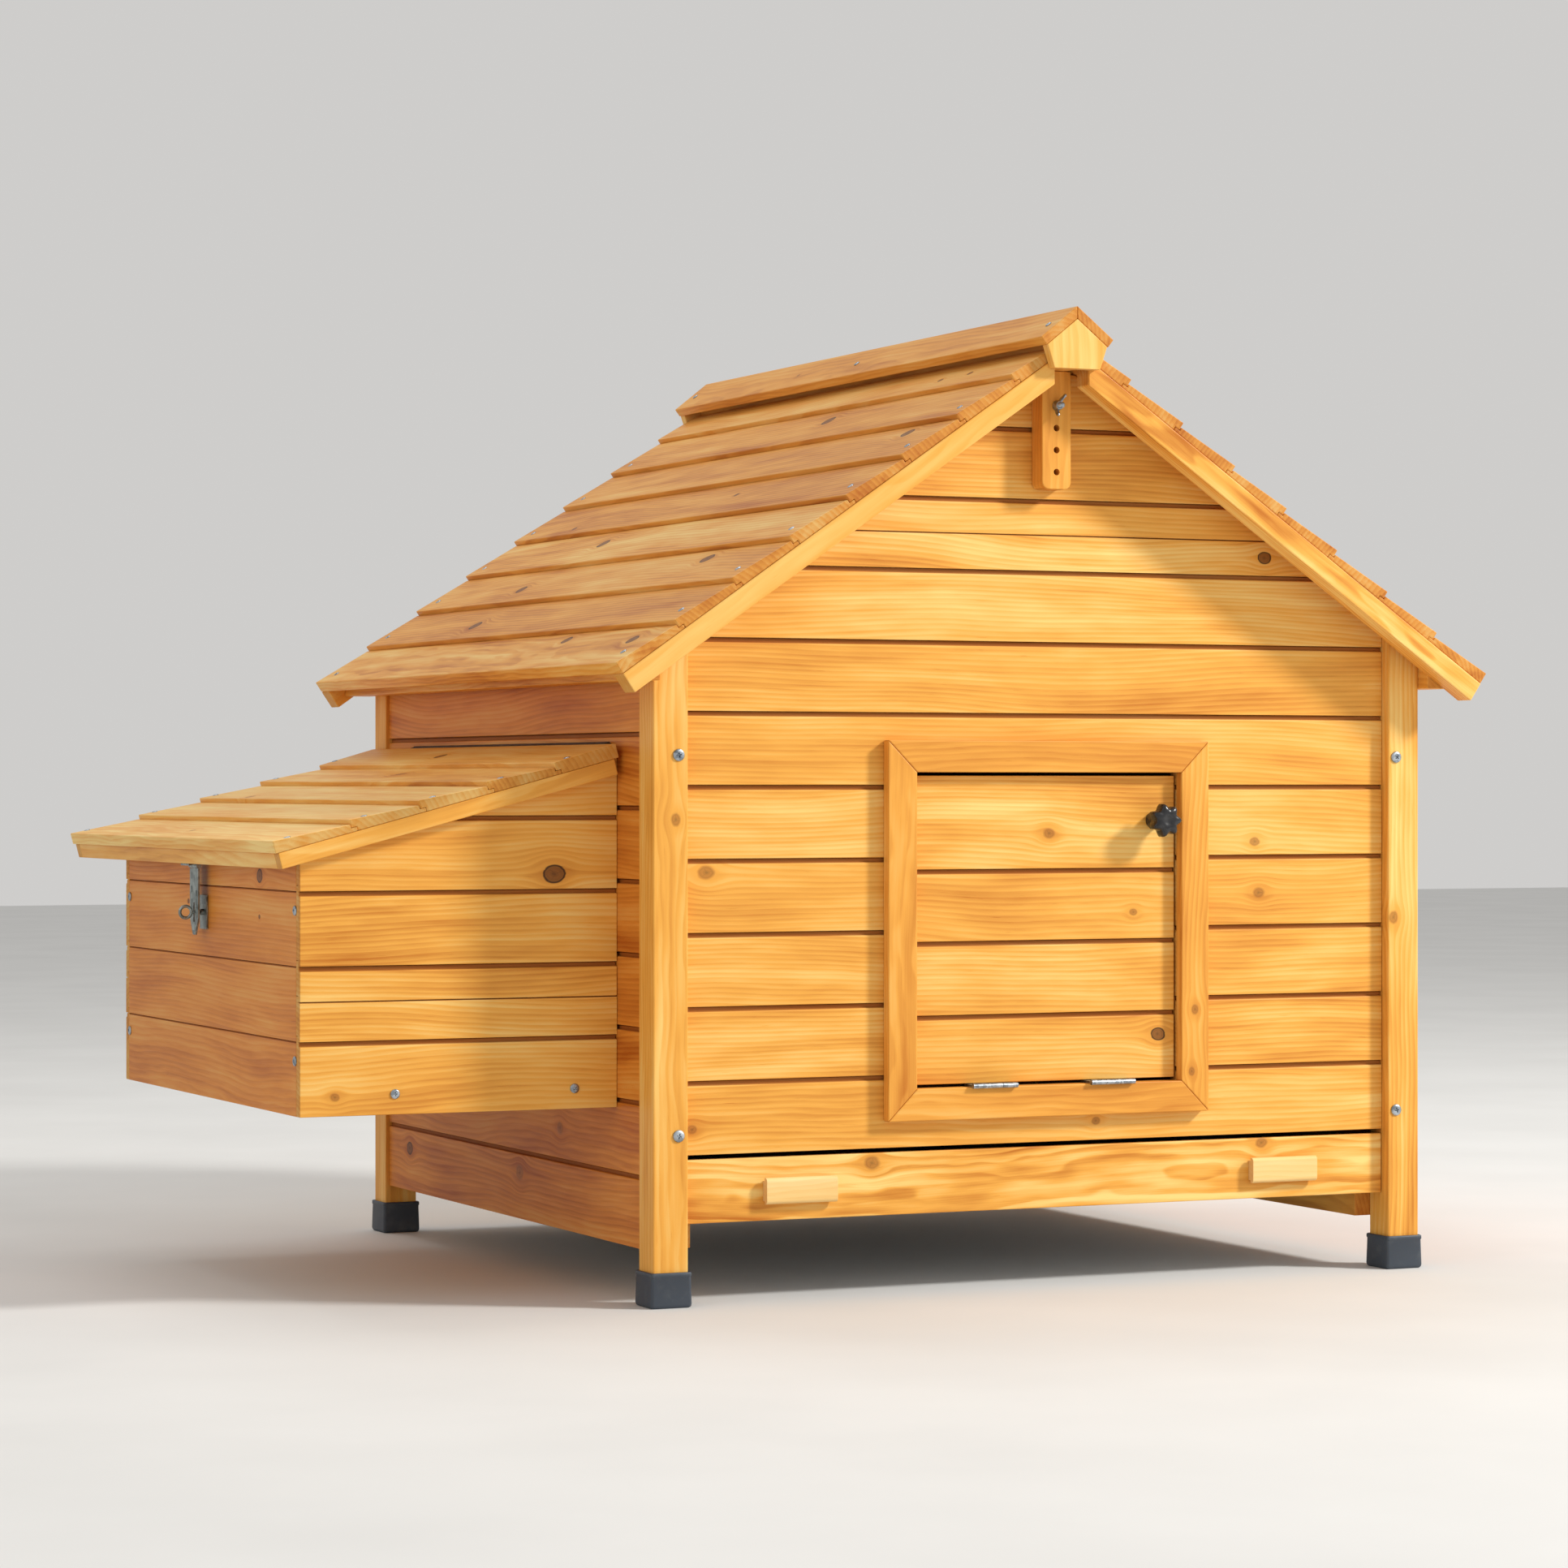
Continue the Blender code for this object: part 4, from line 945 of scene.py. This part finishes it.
def make_house_screws():
    """Screws through the corner posts, the nest's end and its side panels."""
    proud = 0.0001
    low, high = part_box("post_front_left")[0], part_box("post_front_right")[1]
    places = []
    for x in (low.x + 0.0275, high.x - 0.0285):
        for z in (0.557, 0.173):
            places.append((Vector((x, low.y + proud, z)), -Y))
            places.append((Vector((x, -low.y - proud, z)), Y))
    make_screw_group("post_screws", "house", places, POST_SCREW)

    end_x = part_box("nest_end")[0].x + proud
    front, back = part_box("nest_side_front")[0].y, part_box("nest_side_back")[1].y
    places = [
        (Vector((end_x, y, z)), -X) for z in (0.2512, 0.4015) for y in (front + 0.0150, back - 0.0166)
    ]
    for x in (MIDDLE - 0.6896, MIDDLE - 0.4958):
        places.append((Vector((x, front + proud, 0.2165)), -Y))
        places.append((Vector((x, back - proud, 0.2165)), Y))
    make_screw_group("nest_screws", "house", places, NEST_SCREW)


# ---- Door hardware
def make_knob():
    """A black seven-lobed star knob on a neck, with a shaft through the door."""
    low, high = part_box("door_knob")
    door_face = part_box("door_panel")[0].y
    centre = Vector(((low.x + high.x) / 2, 0, (low.z + high.z) / 2 + 0.0003))
    back, front = low.y + 0.016, low.y
    lobe, shaft = 0.0025, 0.004
    profile = [                        # (y, radius, how far the lobes stand out)
        (door_face - 0.0005, 0.0088, 0.0), (back + 0.0030, 0.0090, 0.0), (back + 0.0004, 0.0098, 0.0),
        (back, 0.0125, 0.4), (back - 0.0010, 0.0146, 0.8), (back - 0.0030, 0.0155, 1.0),
        (back - 0.0100, 0.0155, 1.0), (back - 0.0130, 0.0149, 0.95), (back - 0.0148, 0.0133, 0.8),
        (front + 0.0003, 0.0105, 0.5), (front, 0.0070, 0.15), (front + 0.0006, 0.0045, 0.0),
        (front + 0.0014, 0.0020, 0.0),
    ]
    loops = []
    for y, radius, lobes in profile:
        loop = []
        for t in turns(84):
            wave = math.cos(7 * t)
            size = radius + lobes * lobe * (wave if wave > 0 else wave * 0.9)
            loop.append(centre + Vector((size * math.cos(t), y, size * math.sin(t))))
        loops.append(loop)
    bm = bmesh.new()
    skin(bm, loops)
    skin(bm, [ring(centre + Y * y, shaft, 24) for y in (door_face - 0.0008, high.y - 0.0006, high.y)])
    stand_in("door_knob", "moulded", bm, BLACK, 50)


def make_wing_nut(end, outward):
    node = f"vent_wing_nut_{end}"
    low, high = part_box(node)
    centre = Vector((MIDDLE, high.y if outward < 0 else low.y, bolt_height(end)))
    axes = Axes(centre, X, Y * outward, Z)
    bm = bmesh.new()
    hub = [
        (0.0, 0.0055), (0.0012, 0.0056), (0.0060, 0.0046), (0.0072, 0.0041), (0.0075, 0.0037),
        (0.0075, 0.0033), (0.0, 0.0033),
    ]
    skin(bm, [ring(centre + Y * outward * out, radius, 32) for out, radius in hub], closed=True)
    half_thick, edge, rest_turn = 0.0011, 0.0005, math.radians(-68)
    for side, _ in SIDES:
        tip = [(0.0108 + 0.0019 * a, 0.0104 + 0.0021 * b) for a, b in arc(0, 0, 1, -35, 6, 180)]
        wing = [
            (0.0034, 0.0010), (0.0060, 0.0016), (0.0085, 0.0032), *tip, (0.0068, 0.0082), (0.0036, 0.0068),
        ]
        part = solid([(side * a, b) for a, b in wing], axes, -half_thick, half_thick)
        round_edges(part, edge)
        merge(bm, mesh_of(part, "wing"))
    turn = Matrix.Translation(centre) @ Matrix.Rotation(rest_turn, 4, "Y") @ Matrix.Translation(-centre)
    bmesh.ops.transform(bm, verts=bm.verts, matrix=turn)
    stand_in(node, "shaped", bm, ZINC, 38)


def make_bolt(end, outward):
    """A threaded bolt with a rounded head inside the gable."""
    node = f"vent_bolt_{end}"
    low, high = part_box(node)
    tip, head = (low.y, high.y) if outward < 0 else (high.y, low.y)
    length = abs(head - tip)
    centre = Vector((MIDDLE, tip, bolt_height(end)))
    thread, crest, root, shank = 0.0010, 0.00285, 0.00235, 0.0028
    rings = [(0.0, 0.0017), (0.0005, 0.0024)]
    for i in range(16):
        rings += [(0.0008 + thread * i, crest), (0.0008 + thread * (i + 0.5), root)]
    rings += [
        (0.018, shank), (length - 0.004, shank), (length - 0.0039, 0.0068), (length - 0.0020, 0.0065),
        (length - 0.0006, 0.0045), (length, 0.0020),
    ]
    bm = bmesh.new()
    skin(bm, [ring(centre - Y * outward * at, radius, 24) for at, radius in rings])
    stand_in(node, "threaded", bm, ZINC, 35)


# ---- Nest box
def lid_axes():
    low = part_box("lid_boards")[0]
    return slope_axes(-1, LID_ANGLE, Vector((low.x + LID_THICK * math.sin(LID_ANGLE), 0, low.z)))


def make_nest():
    axes = lid_axes()
    lid_cut = (axes.matrix.translation - axes.out * SAW_PLAY, axes.out)
    knots = [(MIDDLE - 0.5185, 0.4360, -0.0090), (MIDDLE - 0.753, 0.2150, 0.0045)]
    for outward, end in ENDS:
        node = f"nest_side_{end}"
        low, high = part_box(node)
        crack = low.z + 1.53 * PITCH
        joints = sorted([low.z + PITCH * i for i in range(5)] + [crack, high.z + 0.001])
        own = knots if end == "front" else ()
        board_wall(node, Y * outward, joints, [lid_cut], (), own, cracks=[crack], tone=0.04)
    low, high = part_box("nest_end")
    joints = [low.z + PITCH * i for i in range(4)] + [high.z]
    knots = [(-0.187, 0.392, -0.0022), (0.063, 0.402, -0.0025)]
    # The nest's end gets a darker tone and a strong red tint as painted shade.
    board_wall("nest_end", -X, joints, (), (), knots, groove=0.0012, deep=0.0010, tone=0.10, red=0.85)
    top = high.z - 0.065
    low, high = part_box("nest_floor")
    make_planks("nest_floor", 6)
    outline = rectangle(low.x + 0.002, high.z + GAP, high.x - 0.002, top)
    loose_board("nest_divider", "house", outline, -0.0155, -0.0045, "a")


def make_planks(node, count):
    """A flat floor of planks that run along Y."""
    low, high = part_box(node)
    width = (high.x - low.x) / count
    timber = Timber(node)
    for i in range(count):
        outline = rectangle(low.x + width * i + GAP, low.z, low.x + width * (i + 1) - GAP, high.z)
        timber.add(outline, UPRIGHT, low.y, high.y, Log())
    timber.done()


def make_lid():
    low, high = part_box("lid_boards")
    axes = lid_axes()
    joints = (0.0, 0.0827, 0.158, 0.2333, 0.3086, 0.3793)
    wall_thick, screw_up = 0.0145, 0.018
    timber = Timber("lid_boards")
    places = []
    for i, (start, stop) in enumerate(zip(joints, joints[1:])):
        last = i == len(joints) - 2
        thin = wall_thick if last else SLAT_THIN
        section = slat_section(start, stop, LID_THICK, thin, i == 0, last)
        log = Log(some_knots(low.y, high.y, start, stop, 0.4, 0.005), contrast=1.1, spread=0.08)
        log.tone -= 0.10
        timber.add(section, axes, low.y + DRAW.uniform(0, 0.001), high.y, log, edge=0.0009)
        height = LID_THICK + (thin - LID_THICK) / (stop - start) * screw_up - SCREW_SINK
        for y in (low.y + 0.008, high.y - 0.0075):
            places.append((axes.matrix @ Vector((start + screw_up, height, y)), axes.out))
    timber.done()
    make_screw_group("lid_screws", "nest_lid", places, SMALL_SCREW)

    start, batten, deep, far = 0.003, 0.015, 0.0164, 0.374
    front, back = low.y + 0.0005, high.y
    timber = Timber("lid_frame")
    rail = rectangle(start, -GAP - deep, far, -GAP)
    for y0, y1 in ((front, front + batten), (back - batten, back)):
        timber.add(rail, axes, y0, y1, Log((), -0.02, 0.9), along="a", edge=0.0009)
    outline = rectangle(start, -GAP - deep, start + batten, -GAP)
    timber.add(outline, axes, front + batten + GAP, back - batten - GAP, Log((), 0.06), edge=0.0009)
    timber.done()


def make_hasp():
    """Two ribs on the strap, and a ring staple of round wire."""
    low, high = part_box("hasp_strap")
    staple_low, staple_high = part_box("hasp_staple")
    centre_y = (low.y + high.y) / 2
    face = (low.x + high.x) / 2 - 0.001
    top, bottom = high.z - 0.010, low.z + 0.020
    half_width, rise, sunk = 0.0019, 0.0011, 0.0002
    bm = bmesh.new()
    for y in (centre_y - 0.0085, centre_y + 0.0085):
        rings = []
        for t in (i / 8 for i in range(9)):
            swell = math.sin(math.pi * min(max(t, 0.02), 0.98)) ** 0.35
            centre = Vector((face + sunk, y, bottom + (top - bottom) * t))
            half_round = arc(0, 0, swell, 0, 8, 180)
            rings.append([centre + Vector((-rise * b, half_width * a, 0)) for a, b in half_round])
        skin(bm, rings)
    publish("hasp_strap_ribs", bm, OLD_ZINC, "hasp", smooth=40)

    wire = 0.0017
    radius = (staple_high.z - staple_low.z) / 2 - wire
    centre = Vector((staple_low.x + radius + wire, centre_y, (staple_low.z + staple_high.z) / 2))
    bm = bmesh.new()
    rings = []
    for t in turns(40):
        away = Vector((math.cos(t), 0, math.sin(t)))
        rings.append(ring(centre + away * radius, wire, 14, away, Y))
    skin(bm, rings, closed=True)
    end_x, chamfer = staple_high.x, 0.0004
    shank = [(centre.x + radius, wire), (end_x - chamfer, wire), (end_x, wire - chamfer)]
    skin(bm, [ring(Vector((x, centre.y, centre.z)), size, 14, Y, Z) for x, size in shank])
    stand_in("hasp_staple", "ring", bm, OLD_ZINC, 50)


# ---- Litter tray, runners and perch
def make_tray():
    low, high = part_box("tray_front")
    log = Log([(MIDDLE - 0.202, 0.137, 0.0075), (MIDDLE + 0.262, 0.142, 0.006)], 0.03, 1.9)
    log.offset = Vector((3.1, -0.105, 0.030))
    outline = rectangle(low.z, 0, high.z, high.y - low.y)
    one_board("tray_front", outline, log, wall_axes("tray_front", -Y), (low.x, high.x), edge=0.0010)
    make_pan()
    for _, side in SIDES:
        make_handle(f"tray_handle_{side}")
    low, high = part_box("tray_runner_frame")
    rail, back = 0.0405, 0.040
    timber = Timber("tray_runner_frame")
    for x0, x1 in ((low.x, low.x + rail), (high.x - rail, high.x)):
        timber.add(rectangle(x0, low.z, x1, high.z), UPRIGHT, low.y, high.y, Log())
    cross = rectangle(low.x + rail + GAP, low.z, high.x - rail - GAP, high.z)
    timber.add(cross, UPRIGHT, high.y - back, high.y, Log(), along="a")
    timber.done()


def make_pan():
    """A tray folded from thin galvanised sheet, with a hemmed rim turned inward."""
    low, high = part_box("tray_pan")
    sheet, hem, hem_deep = 0.0010, 0.007, 0.0022
    levels = [                         # (z, inset), up the outside and down the inside
        (low.z, 0.0012), (low.z + 0.0012, 0.0), (high.z - sheet, 0.0), (high.z, sheet), (high.z, hem),
        (high.z - 0.0007, hem + 0.0006), (high.z - hem_deep, hem), (high.z - hem_deep, sheet + 0.0004),
        (low.z + 0.003, sheet), (low.z + sheet, sheet + 0.002),
    ]
    bm = bmesh.new()
    skin(bm, [
        [Vector((x, y, z)) for x, y in rectangle(low.x + i, low.y + i, high.x - i, high.y - i)]
        for z, i in levels
    ])
    stand_in("tray_pan", "folded", bm, SHEET)


def make_handle(node):
    """A short moulding: rounded front edges and a finger groove along the top and bottom."""
    low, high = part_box(node)
    deep, tall = high.y - low.y, high.z - low.z
    corner, foot, neck, step = 0.0040, 0.0030, 0.0035, 0.0006
    outline = [
        (0, foot), (neck, foot), (neck + step, 0.0),
        *arc(deep - corner, corner, corner, -90, 6), *arc(deep - corner, tall - corner, corner, 0, 6),
        (neck + step, tall), (neck, tall - foot), (0, tall - foot),
    ]
    axes = Axes(Vector((0, high.y, low.z)), -Y, Z, X)
    log = Log((), -0.05, 0.8)
    one_board(node, outline, log, axes, (low.x, high.x), (PALE, "pale_wood"), edge=0.0004)


def make_perch():
    low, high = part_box("perch")
    outline = rounded_rectangle(low.y, low.z, high.y, high.z, 0.006, 4)
    one_board("perch", outline, Log(), Axes(Vector(), Y, Z, X), (low.x, high.x), edge=0.0)


def finish_cad_hardware():
    """Hinges, plates and the strap keep their CAD shape and get a zinc finish; the lid hinge's zinc is
    near black as painted shade.
    """
    kept = [f"door_hinge_{part}_{side}" for part in ("leaf", "flap") for _, side in SIDES]
    kept += ["door_latch_tab", "lid_hinge_leaf", "lid_hinge_flap"]
    kept += ["hasp_leaf", "hasp_strap", "hasp_staple_plate"]
    finishes = {"lid": SHADOW_DARK_ZINC, "hasp": OLD_ZINC, "door": ZINC}
    for name in kept:
        materials = frame["nodes"][name].data.materials
        materials.clear()
        materials.append(finishes[name.split("_")[0]])


# ---- Floor, light and camera
def make_stage():
    bm = bmesh.new()
    bmesh.ops.create_grid(bm, x_segments=1, y_segments=1, size=14.0)
    floor = loose("floor", mesh_of(bm, "floor"))
    s = Shader("pale_floor", 0.85)
    cloud = s.noise(s.node("TexCoord").outputs["Object"], 3.0, 0.5, 3.0)
    s.set("Base Color", s.colours(cloud, ((0.3, (0.66, 0.66, 0.65)), (0.7, (0.70, 0.70, 0.69)))))
    floor.data.materials.append(s.material)


def area_light(name, place, target, size, power, colour):
    light = bpy.data.lights.new(name, "AREA")
    light.shape = "DISK"
    light.size = size
    light.energy = power
    light.color = colour
    obj = loose(name, light)
    obj.location = place
    obj.rotation_euler = (Vector(target) - Vector(place)).to_track_quat("-Z", "Y").to_euler()


def make_light_and_camera():
    world = bpy.data.worlds.new("studio")
    world.use_nodes = True
    background = world.node_tree.nodes["Background"]
    background.inputs["Color"].default_value = (1.0, 0.985, 0.965, 1.0)
    background.inputs["Strength"].default_value = 0.62
    bpy.context.scene.world = world
    bpy.context.scene.view_settings.view_transform = "Standard"
    area_light("key", (4.3, -3.4, 3.7), (0.1, 0, 0.4), 1.0, 375, (1.0, 0.98, 0.94))
    area_light("fill", (-4.5, -2.0, 2.4), (-0.2, 0, 0.4), 3.0, 16, (1.0, 0.98, 0.95))
    area_light("top", (-0.5, 1.8, 4.5), (0, 0, 0.5), 2.5, 45, (1.0, 0.98, 0.95))

    camera = bpy.data.cameras.new("camera")
    camera.lens = 99.3
    camera.sensor_width = 36
    camera.clip_end = 100
    obj = loose("camera", camera)
    obj.location = (-1.9808, -4.433, 0.5278)
    obj.rotation_euler = (math.radians(90), 0, math.radians(-24.52))
    bpy.context.scene.camera = obj


make_posts()
make_walls()
make_door_frame()
make_door()
make_roof()
make_ridge()
make_house_screws()
make_knob()
for outward_sign, end_name in ENDS:
    make_wing_nut(end_name, outward_sign)
    make_bolt(end_name, outward_sign)
make_nest()
make_lid()
make_hasp()
make_tray()
make_perch()
finish_cad_hardware()
make_stage()
make_light_and_camera()
